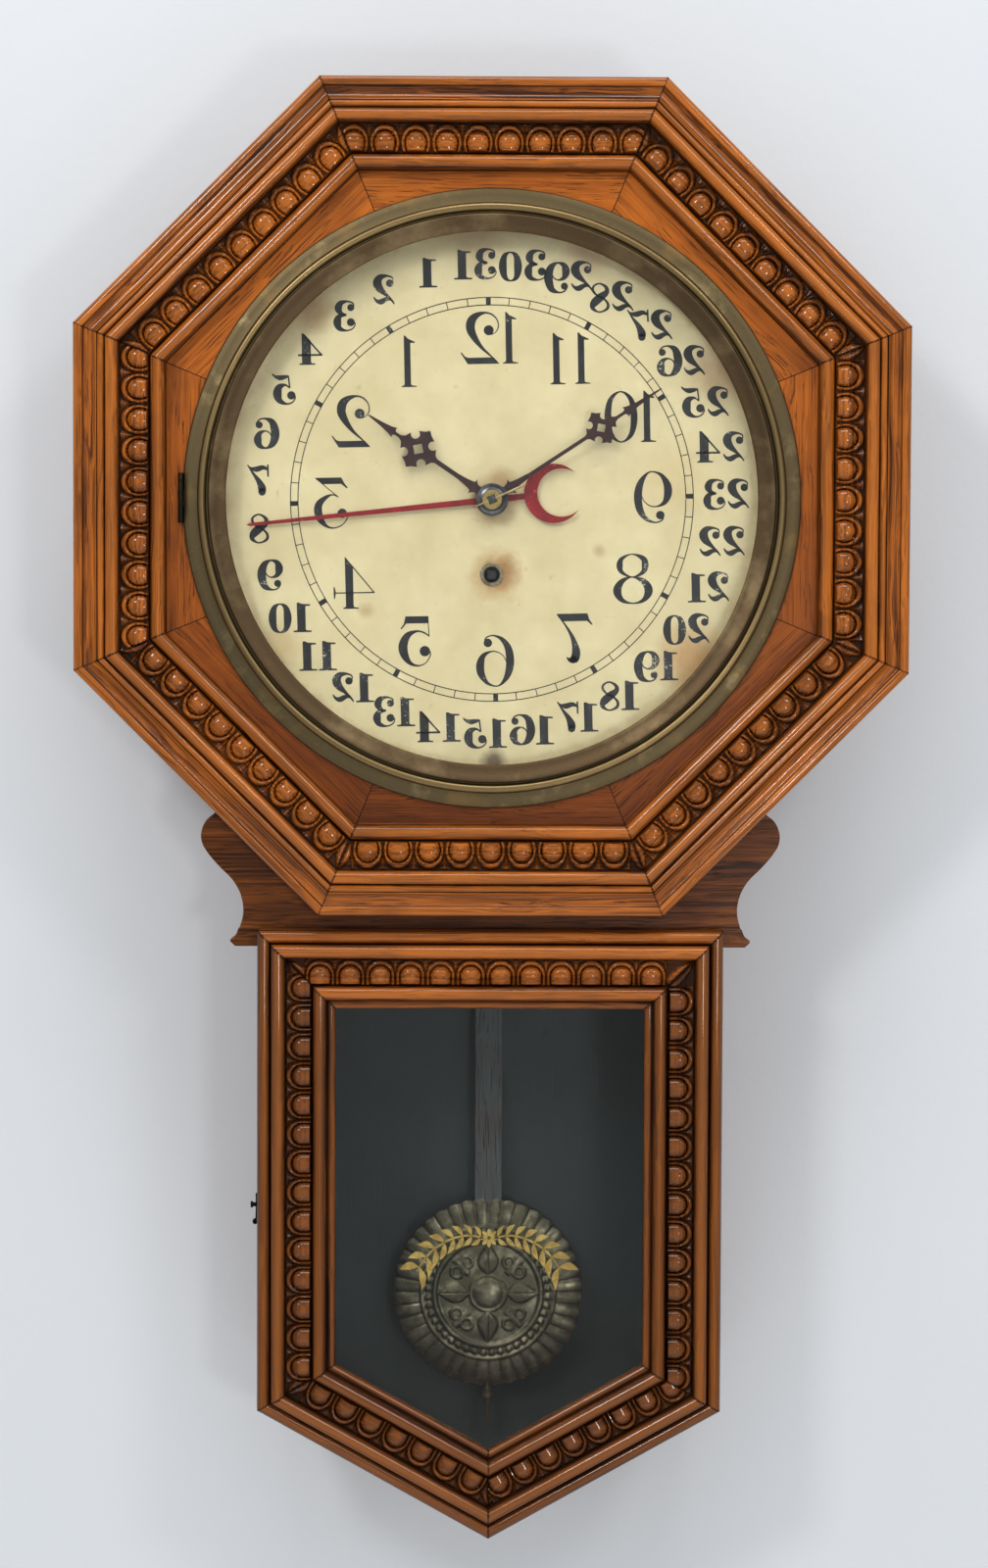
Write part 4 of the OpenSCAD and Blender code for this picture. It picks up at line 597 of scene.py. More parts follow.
def beads(centre, depth, radius, steps, top_wear_and_light=0.7):
    """Points over a bead, outer to inner side: wear and painted highlight on top, painted shade on the
    flanks.
    """
    line = []
    for k in range(steps + 1):
        a = math.radians(180 - 180 * k / steps)
        line.append((centre + radius * math.cos(a), depth + radius * math.sin(a),
                     -0.8 + (top_wear_and_light + 0.8) * max(0.0, math.sin(a)) ** 1.2))
    return line


apothem = 231.0
outer_part = [(0, 96, -0.2), (0, 110, 0), (0, 118.6, 0.1), (0.3, 119.6, 0.4), (1.0, 120.4, 0.6),
              (2.4, 120.8, 0.2), (4.2, 121.0, 0.3), (4.9, 120.8, 0.6), (5.2, 120.1, -0.4), (5.3, 119.7, -0.8),
              (6.3, 119.2, -0.2), (7.6, 118.8, 0), (9.2, 118.7, 0), (10.8, 119.2, 0), (12.0, 120.1, 0.1),
              (12.7, 121.1, 0.5), (13.0, 121.2, 0.2), (13.15, 120.3, -1)]
egg_band = ((25.4, 115.5), (41.3, 114.9))
egg_part = [(25.1, 119.0, -0.8), (25.3, 115.8, -1)] + [(*p, -1) for p in egg_band] + [(41.6, 113.0, -1)]
inner_part = [(50.3, 112.0, -0.9), (50.5, 110.2, -0.7), (50.8, 109.8, 0), (50.8, 108.0, 0), (5.0, 108.0, 0),
              (5.0, 96, 0)]
moulding = (outer_part + beads(15.3, 120.4, 2.0, 8) + [(17.45, 119.6, -1), (17.7, 120.2, -0.9)]
            + beads(21.4, 121.4, 3.6, 14, top_wear_and_light=0.9) + egg_part
            + beads(46.1, 113.9, 4.1, 12, top_wear_and_light=0.5) + inner_part)
corner = math.radians(135)
half_side = apothem * math.tan(math.radians(22.5))
egg_pitch = 17.1
mouldings = []
for n in range(8):
    a = math.radians(90 - 45 * n)
    out = Vector((math.cos(a), 0, math.sin(a)))
    way = Vector((math.sin(a), 0, -math.cos(a)))
    count = 10 if n in (0, 6) else 9
    eggs = [egg_pitch * (k - (count - 1) / 2) for k in range(count)]
    mouldings.append(carved_length(
        "moulding_%d" % (n + 1), "case", octagon_oak, moulding, egg_band,
        out * (apothem / 1000), way, -out, ((half_side, corner), (half_side, corner)), eggs, 3.0 + n, 0.9))
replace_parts(mouldings[0], "octagon_mouldings")


# Dial: a shallow dish of sheet metal, enamelled cream and printed in black. The print is a mirror image. Damp
# has left brown stains round the winding hole and the hands' pipe; the rim's brown band is stain and painted
# shade.
dial_enamel, tree, shader = material("dial_enamel", Coat_Weight=0.15, Coat_Roughness=0.25)
spot = object_mm(tree)
face_spot = stretched(tree, spot, (1, 0, 1))
soft = noise(tree, spot, 0.035, 5.0, 0.6)
specks = noise(tree, spot, 0.22, 2.0)
ragged = noise(tree, spot, 0.09, 5.0, 0.65)
cream = mixed(tree, between(tree, soft, 0.3, 0.7), rgb(222, 210, 165), rgb(204, 190, 143))
cream = mixed(tree, between(tree, specks, 0.68, 0.78, 0.0, 0.35), cream, rgb(176, 148, 92))


def frayed(tree, distance, width):
    return plus(tree, distance, times(tree, minus(tree, ragged, 0.5), width))


# A brown band round the rim: damp stain, and painted shade under the bezel's lip.
rim = frayed(tree, length(tree, face_spot), 22.0)
cream = mixed(tree, between(tree, rim, 144.0, 153.0, 0.0, 0.4), cream, rgb(152, 112, 62))


def blot(tree, colour, at_x, at_z, size, strength, tint):
    """A brown stain with a soft ragged edge."""
    away = node(tree, "VectorMath", {0: face_spot, 1: (at_x, 0, at_z)}, operation="DISTANCE").outputs["Value"]
    away = frayed(tree, away, size * 0.9)
    return mixed(tree, between(tree, away, size * 0.25, size, strength, 0.0), colour, tint)


for stain in ((2.5, -41.6, 17.0, 0.85, rgb(166, 118, 50)), (7.0, -40.0, 11.0, 0.6, rgb(140, 92, 36)),
              (2.0, -1.0, 17.0, 0.65, rgb(160, 120, 62)), (6.0, 12.0, 8.0, 0.5, rgb(150, 108, 54)),
              (112.0, -88.0, 24.0, 0.75, rgb(176, 128, 62)), (124.0, 70.0, 22.0, 0.6, rgb(160, 122, 78)),
              (-10.0, 146.0, 22.0, 0.5, rgb(150, 112, 74)), (52.0, 136.0, 16.0, 0.5, rgb(160, 120, 80)),
              (-100.0, 104.0, 15.0, 0.6, rgb(150, 108, 56)), (2.0, -146.0, 9.0, 0.85, rgb(70, 46, 24)),
              (-118.0, -80.0, 16.0, 0.4, rgb(176, 136, 78)), (60.0, -28.0, 5.0, 0.5, rgb(150, 120, 70)),
              (-70.0, -62.0, 6.0, 0.5, rgb(160, 126, 70)), (100.0, 14.0, 26.0, 0.25, rgb(200, 170, 110))):
    cream = blot(tree, cream, *stain)
bare_back = between(tree, part(tree, spot, "Y"), -97.45, -97.2)
cream = mixed(tree, bare_back, cream, mixed(tree, soft, rgb(120, 122, 122), rgb(150, 152, 152)))
finish(tree, shader, cream, between(tree, soft, 0.3, 0.7, 0.36, 0.5))
bump_by(tree, shader, soft, 0.1, 0.0003)
dress(dial_enamel, "dial_pan")
dress(metal("grommet_brass", rgb(190, 182, 156), rgb(120, 108, 84), 0.4, 0.24), "winding_grommet")

print_ink, tree, shader = material("print_ink")
spot = object_mm(tree)
rubbed = noise(tree, spot, 0.06, 4.0, 0.65)
chips = noise(tree, spot, 0.8, 3.0, 0.6)
ink = mixed(tree, between(tree, rubbed, 0.5, 0.72), rgb(14, 15, 17), rgb(46, 49, 51))
chipped = plus(tree, times(tree, rubbed, 0.5), times(tree, chips, 0.5))
ink = mixed(tree, between(tree, chipped, 0.6, 0.635, 0.0, 0.75), ink, rgb(196, 190, 160))
finish(tree, shader, ink, between(tree, rubbed, 0.3, 0.7, 0.35, 0.5))

dial_face = 97.6
ink_face = dial_face + 0.06


def ribbon(bm, line, put, closed=False, steps=6):
    """A flat stroke along a smooth line of points, each with the stroke's width there."""
    if closed:
        smooth_line = through(line[-1:] + line + line[:2], steps)[steps:steps * (len(line) + 1) + 1]
    else:
        smooth_line = through(line, steps)
    last = len(smooth_line) - 1
    made = bmesh.ops.create_grid(bm, x_segments=last, y_segments=1, size=0.5)["verts"]
    for v in made:
        i = round((v.co.x + 0.5) * last)
        x, y, w = smooth_line[i]
        before, after = smooth_line[max(0, i - 1)], smooth_line[min(last, i + 1)]
        if closed and i in (0, last):
            before, after = smooth_line[-2], smooth_line[1]
        dx, dy = after[0] - before[0], after[1] - before[1]
        size = math.hypot(dx, dy) or 1.0
        side = w / 2 if v.co.y > 0 else -w / 2
        v.co = put(x - dy / size * side, y + dx / size * side)


def disc(bm, x, y, r, put):
    for v in bmesh.ops.create_circle(bm, cap_ends=True, segments=20, radius=r)["verts"]:
        v.co = put(x + v.co.x, y + v.co.y)


def patch(bm, points, put):
    bm.faces.new([bm.verts.new(put(x, y)) for x, y in points])


def turned_over(glyph, x_sum, y_sum):
    """A six turned into a nine."""
    drawn = dict(glyph)
    drawn["strokes"] = [[(x_sum - x, y_sum - y, w) for x, y, w in line] for line in glyph["strokes"]]
    drawn["discs"] = [(x_sum - x, y_sum - y, r) for x, y, r in glyph["discs"]]
    return drawn


# The numerals as they read in a mirror, with their height in the units they are drawn in. A point of a stroke
# or of a closed loop is x, y and the stroke's width there, and a disc is x, y and its radius.
hour_tall, day_tall = 215, 130
# Thin and fine for the hours
hour_glyphs = {
    "0": dict(width=140, loops=[[(70, 212, 6), (28, 180, 20), (15, 107, 29), (28, 34, 20), (70, 2, 6),
              (112, 34, 20), (125, 107, 29), (112, 180, 20)]]),
    "1": dict(width=64, patches=[[(0, 0), (64, 0), (64, 4), (53, 8), (51, 14), (51, 215), (46, 215),
              (34, 202), (5, 188), (5, 183), (24, 184), (24, 14), (22, 8), (0, 4)]]),
    "2": dict(width=165, strokes=[[(36, 121, 4), (17, 131, 4), (5, 152, 5), (8, 180, 5), (28, 204, 7),
              (57, 213, 9), (90, 205, 22), (115, 183, 36), (121, 148, 37), (105, 110, 27), (75, 68, 14),
              (38, 33, 7), (8, 3, 5)]], discs=[(45, 140, 21)], patches=[[(2, 0), (135, 0), (165, 48),
              (160, 50), (146, 32), (132, 27), (26, 27)]]),
    "3": dict(width=145, strokes=[[(134, 211, 4), (88, 171, 4), (42, 132, 4)], [(40, 131, 4), (67, 141, 6),
              (97, 128, 18), (122, 103, 30), (127, 73, 34), (117, 38, 28), (92, 10, 12), (62, 2, 6),
              (30, 13, 5), (7, 38, 5), (6, 60, 5)]], discs=[(26, 63, 20)], patches=[[(27, 213), (137, 213),
              (134, 207), (102, 186), (28, 186), (6, 167), (0, 170), (14, 188)]]),
    "4": dict(width=172, strokes=[[(120, 212, 5), (62, 140, 5), (4, 68, 5)], [(0, 67, 5), (84, 67, 5),
              (168, 67, 5)]], patches=[[(90, 14), (90, 170), (121, 217), (124, 217), (122, 14), (124, 8),
              (134, 4), (134, 0), (68, 0), (68, 4), (88, 8)], [(168, 42), (172, 42), (173, 92), (168, 92),
              (164, 72), (164, 62)]]),
    "5": dict(width=138, strokes=[[(9, 208, 4), (8, 166, 4), (6, 124, 4)], [(5, 126, 5), (28, 142, 7),
              (58, 148, 9), (96, 131, 27), (116, 90, 38), (111, 50, 34), (88, 15, 17), (53, 3, 7),
              (22, 15, 5), (3, 44, 5), (3, 62, 5)]], discs=[(25, 64, 22)], patches=[[(8, 211), (104, 211),
              (111, 180), (126, 160), (121, 157), (101, 181), (10, 181)]]),
    "6": dict(width=155, strokes=[[(120, 196, 5), (108, 209, 6), (80, 214, 7), (45, 197, 18), (20, 157, 30),
              (14, 98, 34), (26, 47, 26), (52, 11, 10), (78, 2, 6), (113, 17, 15), (137, 57, 31),
              (139, 97, 33), (125, 131, 20), (95, 147, 7), (66, 145, 5), (42, 128, 4), (30, 104, 4)]],
              discs=[(106, 184, 18)]),
    "7": dict(width=152, strokes=[[(149, 206, 4), (122, 172, 7), (97, 132, 13), (80, 92, 22), (72, 52, 34),
              (76, 24, 36), (84, 14, 30)], [(84, 13, 26), (100, 16, 16), (112, 27, 4)]], discs=[(84, 17, 16)],
              patches=[[(22, 210), (152, 210), (149, 203), (127, 178), (24, 178), (5, 161), (0, 163),
              (14, 184)]]),
    "8": dict(width=168, loops=[[(85, 207, 5), (40, 189, 22), (31, 160, 29), (42, 130, 18), (85, 111, 6),
              (129, 132, 16), (138, 161, 27), (127, 190, 16)], [(85, 111, 6), (36, 90, 26), (18, 52, 35),
              (40, 14, 18), (85, 1, 6), (131, 16, 20), (150, 55, 35), (129, 94, 22)]])}
hour_glyphs["9"] = turned_over(hour_glyphs["6"], 154, hour_tall)
# Heavier for the days of the month
day_glyphs = {
    "0": dict(width=105, loops=[[(52, 129, 7), (26, 112, 24), (18, 65, 36), (26, 18, 24), (52, 1, 7),
              (78, 18, 24), (87, 65, 36), (78, 112, 24)]]),
    "1": dict(width=82, patches=[[(0, 0), (82, 0), (82, 7), (66, 9), (64, 14), (65, 133), (57, 135),
              (40, 128), (4, 126), (4, 119), (26, 118), (26, 14), (23, 9), (0, 7)]]),
    "2": dict(width=102, strokes=[[(9, 106, 5), (12, 122, 7), (36, 131, 11), (66, 125, 28), (80, 102, 40),
              (70, 75, 34), (42, 47, 16), (17, 22, 9), (5, 4, 6)], [(6, 6, 5), (22, 24, 9), (42, 26, 20),
              (66, 15, 25), (86, 21, 13), (98, 38, 5)]], discs=[(24, 98, 17)]),
    "3": dict(width=105, strokes=[[(8, 108, 5), (13, 126, 7), (40, 134, 10), (68, 125, 26), (78, 102, 34),
              (66, 81, 18), (42, 73, 8)], [(42, 73, 8), (72, 68, 22), (84, 42, 36), (75, 14, 24), (45, 3, 9),
              (17, 10, 6), (4, 27, 5), (6, 40, 5)]], discs=[(22, 106, 16), (23, 40, 18)]),
    "4": dict(width=113, strokes=[[(88, 138, 8), (48, 91, 8), (7, 44, 8)], [(3, 44, 9), (58, 44, 9),
              (113, 44, 9)]], patches=[[(55, 14), (55, 108), (86, 142), (96, 142), (96, 14), (98, 8),
              (108, 6), (108, 0), (36, 0), (36, 6), (53, 8)]]),
    "5": dict(width=108, strokes=[[(34, 128, 8), (50, 124, 18), (74, 121, 23), (96, 128, 12), (108, 140, 5)],
              [(35, 130, 7), (32, 103, 7), (29, 76, 7)], [(28, 74, 7), (50, 88, 11), (77, 78, 30),
              (86, 48, 40), (76, 18, 27), (46, 3, 10), (20, 9, 7), (6, 26, 6), (7, 40, 6)]],
              discs=[(23, 41, 19)]),
    "6": dict(width=108, strokes=[[(101, 113, 5), (86, 131, 7), (60, 136, 9), (30, 121, 28), (17, 86, 38),
              (17, 51, 38), (31, 19, 28), (58, 3, 9), (86, 14, 24), (95, 42, 36), (86, 69, 22), (62, 80, 8),
              (42, 72, 6), (33, 56, 5)]], discs=[(87, 108, 16)]),
    "7": dict(width=98, strokes=[[(4, 116, 9), (27, 126, 20), (56, 119, 25), (82, 124, 11), (97, 139, 5)],
              [(93, 134, 5), (73, 102, 11), (48, 67, 23), (34, 36, 36), (32, 18, 34)]], discs=[(33, 16, 17)],
              patches=[[(0, 84), (8, 84), (9, 139), (1, 139)]]),
    "8": dict(width=90, loops=[[(46, 129, 8), (18, 113, 15), (15, 90, 24), (42, 68, 36), (70, 44, 36),
              (79, 22, 22), (62, 5, 10), (40, 2, 8), (13, 16, 13), (10, 38, 12), (28, 60, 9), (58, 76, 9),
              (76, 98, 12), (72, 118, 10)]])}
day_glyphs["9"] = turned_over(day_glyphs["6"], 108, 134)


def number(bm, text, glyphs, tall, height, gap, middle):
    """A number drawn backwards round a middle point."""
    scale = height / tall
    width = sum(glyphs[c]["width"] for c in text) + gap * (len(text) - 1)
    start = -width / 2
    for c in text:
        glyph = glyphs[c]

        def put(x, y, left=start):
            return at(middle[0] - (left + x) * scale, ink_face, middle[1] + (y - tall / 2) * scale)

        for line in glyph.get("strokes", ()):
            ribbon(bm, line, put)
        for line in glyph.get("loops", ()):
            ribbon(bm, line, put, closed=True)
        for x, y, r in glyph.get("discs", ()):
            disc(bm, x, y, r, put)
        for points in glyph.get("patches", ()):
            patch(bm, points, put)
        start += glyph["width"] + gap


def round_place(radius, degrees):
    """A point of the dial at an angle counted anticlockwise from the top."""
    a = math.radians(degrees)
    return -radius * math.sin(a), radius * math.cos(a)


def face_room(bm):
    for face in bm.faces:
        face.normal_update()
        if face.normal.y > 0:
            face.normal_flip()


hour_height, hour_radius = 28.6, 89.8
day_height, day_radius = 16.0, 130.6
first_day, day_step = 3.1, 11.61
track_inner, track_middle, track_outer = 108.1, 110, 112.3
hour_gap, eleven_gap, day_gap = 12, 40, 7
dial_lean = -1.3
bm = bmesh.new()
for hour in range(1, 13):
    number(bm, str(hour), hour_glyphs, hour_tall, hour_height, eleven_gap if hour == 11 else hour_gap,
           round_place(hour_radius, 30 * hour))
for day in range(1, 32):
    number(bm, str(day), day_glyphs, day_tall, day_height, day_gap,
           round_place(day_radius, first_day + day_step * day))
for inner, outer in ((112.05, 112.6), (107.85, 108.4)):
    spun(bm, [(inner, ink_face), (outer, ink_face)], 240)
for minute in range(60):
    a = 6.0 * minute
    edge = math.degrees((1.35 if minute % 5 == 0 else 0.26) / track_middle)
    patch(bm, [round_place(track_inner, a - edge), round_place(track_outer, a - edge),
               round_place(track_outer, a + edge), round_place(track_inner, a + edge)],
          lambda x, z: at(x, ink_face, z))
bmesh.ops.rotate(bm, verts=bm.verts, matrix=Matrix.Rotation(math.radians(dial_lean), 3, "Y"))
face_room(bm)
settle(bm, "dial_print", "case", print_ink, smooth=False)


# Hands: stamped from thin sheet. Hour and minute hand are lacquered dark brown, each with a cross and a
# barbed point, and the calendar hand is red with a crescent. They are held by a steel collar, a washer and a
# tapered pin.
def lacquer(name, colour, wear_and_shading_layer, bare):
    made, tree, shader = material(name, Coat_Weight=0.2, Coat_Roughness=0.2, Specular_IOR_Level=0.3)
    spot = object_mm(tree)
    cloudy = noise(tree, spot, 0.16, 4.0)
    nicks = noise(tree, spot, 0.7, 3.0, 0.65)
    shade = mixed(tree, between(tree, cloudy, 0.35, 0.65), colour, wear_and_shading_layer)
    shade = mixed(tree, between(tree, nicks, 0.63, 0.7, 0.0, 0.8), shade, bare)
    finish(tree, shader, shade, between(tree, cloudy, 0.3, 0.7, 0.3, 0.46))
    bump_by(tree, shader, nicks, 0.2, 0.0002)
    return made


brown = lacquer("hand_brown", rgb(58, 34, 34), rgb(42, 25, 24), rgb(104, 82, 70))
dress(brown, "hour_hand", "minute_hand")
dress(lacquer("hand_red", rgb(146, 20, 28), rgb(112, 16, 22), rgb(196, 120, 110)), "calendar_hand")
dress(metal("hub_brass", rgb(226, 202, 130), rgb(166, 138, 76), 0.35, 0.24), "hand_washer")


def plate(points, back, front, degrees):
    """A flat plate cut to points along and across a hand, turned to the hand's angle."""
    c, s = math.cos(math.radians(degrees)), math.sin(math.radians(degrees))
    bm = bmesh.new()
    thicken(bm, [bm.verts.new(at(u * c - v * s, back, u * s + v * c)) for u, v in points], front - back)
    return bm


half_flare = [(7.0, 3.4), (9.6, 2.2), (11.2, 2.6), (13.4, 4.6), (13.2, 2.9), (14.6, 2.4), (17.4, 1.9),
              (21.0, 1.5), (24.0, 1.3)]
flare = half_flare + [(u, -v) for u, v in reversed(half_flare)]
for body, back, front, degrees in (("hour", 102.08, 102.92, 145.9), ("minute", 104.58, 105.42, 33.4)):
    settle(plate(flare, back, front, degrees), body + "_flare", body, brown, smooth=False)
arbor_half = 2.3
square = plate([(-arbor_half, -arbor_half), (arbor_half, -arbor_half), (arbor_half, arbor_half),
                (-arbor_half, arbor_half)], 106.36, 106.44, 24)
square_steel = metal("square_dark", rgb(34, 32, 30), rgb(20, 18, 16), 0.5, 0.4)
settle(square, "hub_square", "minute", square_steel, smooth=False)
pin_lean, pin_thin, pin_thick, pin_long = 24.1, 0.42, 0.72, 30.5
bm = bmesh.new()
bmesh.ops.create_cone(bm, cap_ends=True, segments=20, radius1=pin_thin / 1000, radius2=pin_thick / 1000,
                      depth=pin_long / 1000,
                      matrix=Matrix.Translation(at(4.0, 107.2, 1.8))
                      @ Matrix.Rotation(math.radians(-pin_lean), 4, "Y")
                      @ Matrix.Rotation(math.radians(90), 4, "Y"))
pin_brass = metal("pin_brass", rgb(206, 188, 146), rgb(140, 122, 88), 0.4, 0.28)
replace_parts(settle(bm, "taper_pin_turned", "minute", pin_brass, sharp=40), "taper_pin")
collar = [(5.5, 105.45), (8.9, 105.45), (9.0, 105.8), (8.7, 106.25), (8.0, 106.4), (7.4, 106.1), (6.9, 105.9),
          (6.3, 106.1), (5.7, 106.3), (5.5, 106.1)]
collar_steel = metal("collar_steel", rgb(104, 106, 110), rgb(62, 60, 60), 0.45, 0.3)
settle(solid_ring(collar, 64), "hand_collar", "minute", collar_steel, sharp=40)


# Bezel: a ring spun from sheet brass, hinged at the left, with the dial's glass held behind it by clips. The
# outer part has dulled to olive, its bead is lighter for wear and as a painted highlight, and the slope down
# to the glass has gone dark brown.
bezel_metal, tree, shader = material("bezel_brass", Metallic=1.0)
spot = object_mm(tree)
radius = length(tree, stretched(tree, spot, (1, 0, 1)))
slope_share = between(tree, radius, 156.2, 157.2, 1.0, 0.0)
outer_film = grouped(tree, metal_film, {"Place": spot, "Clean": rgb(176, 156, 112), "Film": rgb(122, 106, 76),
                                        "Cover": 0.75, "Gloss": 0.33, "Size": 0.05})
inner_film = grouped(tree, metal_film, {"Place": spot, "Clean": rgb(150, 128, 94), "Film": rgb(108, 88, 64),
                                        "Cover": 0.6, "Gloss": 0.3, "Size": 0.04})
shade = mixed(tree, slope_share, outer_film["Color"], inner_film["Color"])
# Painted shadow: a dark line in the groove at the foot of the slope.
line = between(tree, calc(tree, "ABSOLUTE", minus(tree, radius, 157.4)), 0.2, 0.6, 0.6, 0.0)
shade = mixed(tree, line, shade, rgb(24, 20, 14))
bead_r = 160.8
off_bead = calc(tree, "ABSOLUTE", minus(tree, radius, bead_r))
# The bead is painted lighter and smoother: wear, and a painted highlight along its top.
bead_wear_and_highlight = between(tree, off_bead, 1.0, 2.4, 0.6, 0.0)
shade = mixed(tree, bead_wear_and_highlight, shade, rgb(178, 150, 100))
rub = between(tree, noise(tree, spot, 0.03, 4.0, 0.6), 0.58, 0.68, 0.0, 0.22)
shade = mixed(tree, times(tree, rub, between(tree, radius, 160.0, 166.0)), shade, rgb(196, 152, 84))
finish(tree, shader, shade, minus(tree, outer_film["Roughness"], times(tree, bead_wear_and_highlight, 0.22)))
bump_by(tree, shader, outer_film["Height"], 0.15, 0.0002)
section = [(147.3, 112.0), (152.3, 112.0), (152.3, 107.2), (156.5, 107.2), (156.5, 108.4), (171.5, 108.4),
           (171.6, 108.9), (171.3, 109.6), (170.6, 110.0), (167.5, 110.25), (164.6, 110.6), (163.4, 110.9)]
section += [(bead_r + 2.45 * math.cos(math.radians(a)), 112.5 + 2.45 * math.sin(math.radians(a)))
            for a in range(-10, 191, 20)]
section += [(158.2, 113.0), (157.8, 112.8), (157.4, 112.8), (157.1, 113.1), (156.9, 115.0), (156.4, 115.4),
            (155.6, 115.3), (153.6, 114.3), (151.4, 113.5), (149.4, 113.0), (147.7, 112.8), (147.4, 112.6)]
section = [(min(r, 171.5), d) for r, d in section]
bm = solid_ring(section, 288)
# The ring is filed flat at the left for the hinge.
flat_x, flat_half = -0.1704, 0.01415
for v in bm.verts:
    if v.co.x < flat_x and abs(v.co.z) < flat_half:
        v.co.x = flat_x
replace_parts(settle(bm, "bezel_spun", "bezel", bezel_metal, sharp=50), "bezel_ring")
small_brass = metal("small_brass", rgb(150, 132, 84), rgb(92, 78, 50), 0.6, 0.34)
dress(small_brass, "bezel_glass_clips", "hinge_pins")
hinge_dark = metal("hinge_dark", rgb(92, 84, 62), rgb(50, 44, 34), 0.6, 0.36)
dress(hinge_dark, "bezel_hinge_leaf", "bezel_hinge_plate")


def clear_where(tree, shader, share, tint=(1, 1, 1, 1)):
    """Lets light pass straight through the surface as far as the share says."""
    clear = node(tree, "BsdfTransparent", {"Color": tint})
    both = node(tree, "MixShader", {0: share, 1: shader.outputs[0], 2: clear.outputs[0]})
    tree.links.new(both.outputs[0], tree.nodes["Material Output"].inputs["Surface"])


def glass(name, tint, through_tint, shine):
    """Sheet glass that lets the light of the lamps pass straight through."""
    made, tree, shader = material(name, Transmission_Weight=1.0, IOR=1.46, Specular_IOR_Level=shine)
    smear = noise(tree, object_mm(tree), 0.02, 4.0, 0.6)
    finish(tree, shader, mixed(tree, smear, tint, tuple(v * 0.97 for v in tint[:3]) + (1.0,)),
           between(tree, smear, 0.3, 0.8, 0.0, 0.02))
    clear_where(tree, shader, node(tree, "LightPath").outputs["Is Shadow Ray"], through_tint)
    return made


dress(glass("dial_glass", (0.985, 0.99, 0.985, 1), (0.95, 0.95, 0.95, 1), 0.2), "bezel_glass")


# Door: five carved oak rails, mitred and glued, with two beads outside the eggs and one inside. Strips of oak
# hold its glass in a rebate. The glass looks nearly black, because the case behind it is dark.
egg_band = ((16.2, 110.4), (30.6, 109.4))
egg_part = [(15.8, 111.6, -1), (16.1, 110.6, -1)] + [(*p, -1) for p in egg_band] + [(30.9, 108.7, -1)]
inner_part = [(39.0, 111.0, -0.9), (39.2, 109.9, -1), (40.3, 110.3, -0.2), (41.6, 110.5, 0.4),
              (42.8, 109.9, 0.4), (43.6, 109.0, 0), (43.8, 108.4, -0.6), (43.8, 108.0, -0.6),
              (36.6, 108.0, 0), (36.6, 97.5, 0)]
door_section = ([(0, 97.5, -0.3), (0, 103, 0), (0, 109.4, 0)] + beads(3.7, 110.4, 3.6, 12, top_wear_and_light=0.6)
                + [(7.5, 109.6, -1), (7.8, 109.5, -1)] + beads(11.8, 113.9, 3.85, 14, top_wear_and_light=0.9)
                + egg_part + beads(35.1, 113.1, 3.7, 12, top_wear_and_light=0.6) + inner_part)
hinge_side = [(2.6, 97.5, 0), (0, 99.3, 0)] + door_section[1:]
door_top, door_corner = -240, -510.4
outline = [(-door_half, door_top), (door_half, door_top), (door_half, door_corner),
           (0, door_corner - point_rise), (-door_half, door_corner)]
lower = math.radians(90 + slope)
corners = [math.pi / 2, math.pi / 2, lower, math.pi - 2 * math.radians(slope), lower]
door_oak = carved("door_oak", rgb(126, 68, 22), rgb(48, 21, 7))
# The top rail gets a lighter copy of the door's oak: painted light from the lamps above.
lit_top_oak = carved("door_top_oak_painted_light", rgb(184, 100, 32), rgb(80, 38, 12))
# Each side: its name, its node, its first and last corner, how many eggs, the first egg's place and the pitch
door_sides = [("door_top_carved", "door_rail_top", 0, 1, 12, -94.9, 16.8),
              ("door_right_carved", "door_stile_right", 1, 2, 14, -95.9, 16.3),
              ("door_low_right_carved", "door_rail_bottom_right", 2, 3, 8, -57.3, 15.85),
              ("door_low_left_carved", "door_rail_bottom_left", 3, 4, 7, -49.9, 16.3),
              ("door_left_carved", "door_stile_left", 4, 0, 14, -110.3, 16.4)]
for side_number, (name, solid, a, b, count, start, pitch) in enumerate(door_sides):
    (ax, az), (bx, bz) = outline[a], outline[b]
    long = math.hypot(bx - ax, bz - az)
    way = Vector(((bx - ax) / long, 0, (bz - az) / long))
    inward = Vector((way.z, 0, -way.x))
    origin = Vector(((ax + bx) / 2000, 0, (az + bz) / 2000))
    eggs = [start + pitch * k for k in range(count)]
    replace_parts(carved_length(
        name, "door", lit_top_oak if a == 0 else door_oak, hinge_side if a == 1 else door_section, egg_band,
        origin, way, inward, ((long / 2, corners[b]), (long / 2, corners[a])), eggs, 20.0 + side_number,
        0.25), solid)
dress(glass("door_glass_clear", (0.84, 0.87, 0.86, 1), (0.87, 0.89, 0.89, 1), 0.5), "door_glass")
dress(oak("strip_oak", 0, 1700, rgb(140, 80, 38), rgb(80, 44, 22)), "door_glazing_strips")
dress(small_brass, "case_hinge_leaves", "door_hinge_leaves")
dress(metal("black_iron", rgb(40, 40, 42), rgb(26, 24, 24), 0.5, 0.42), "catch_pin", "door_hook")


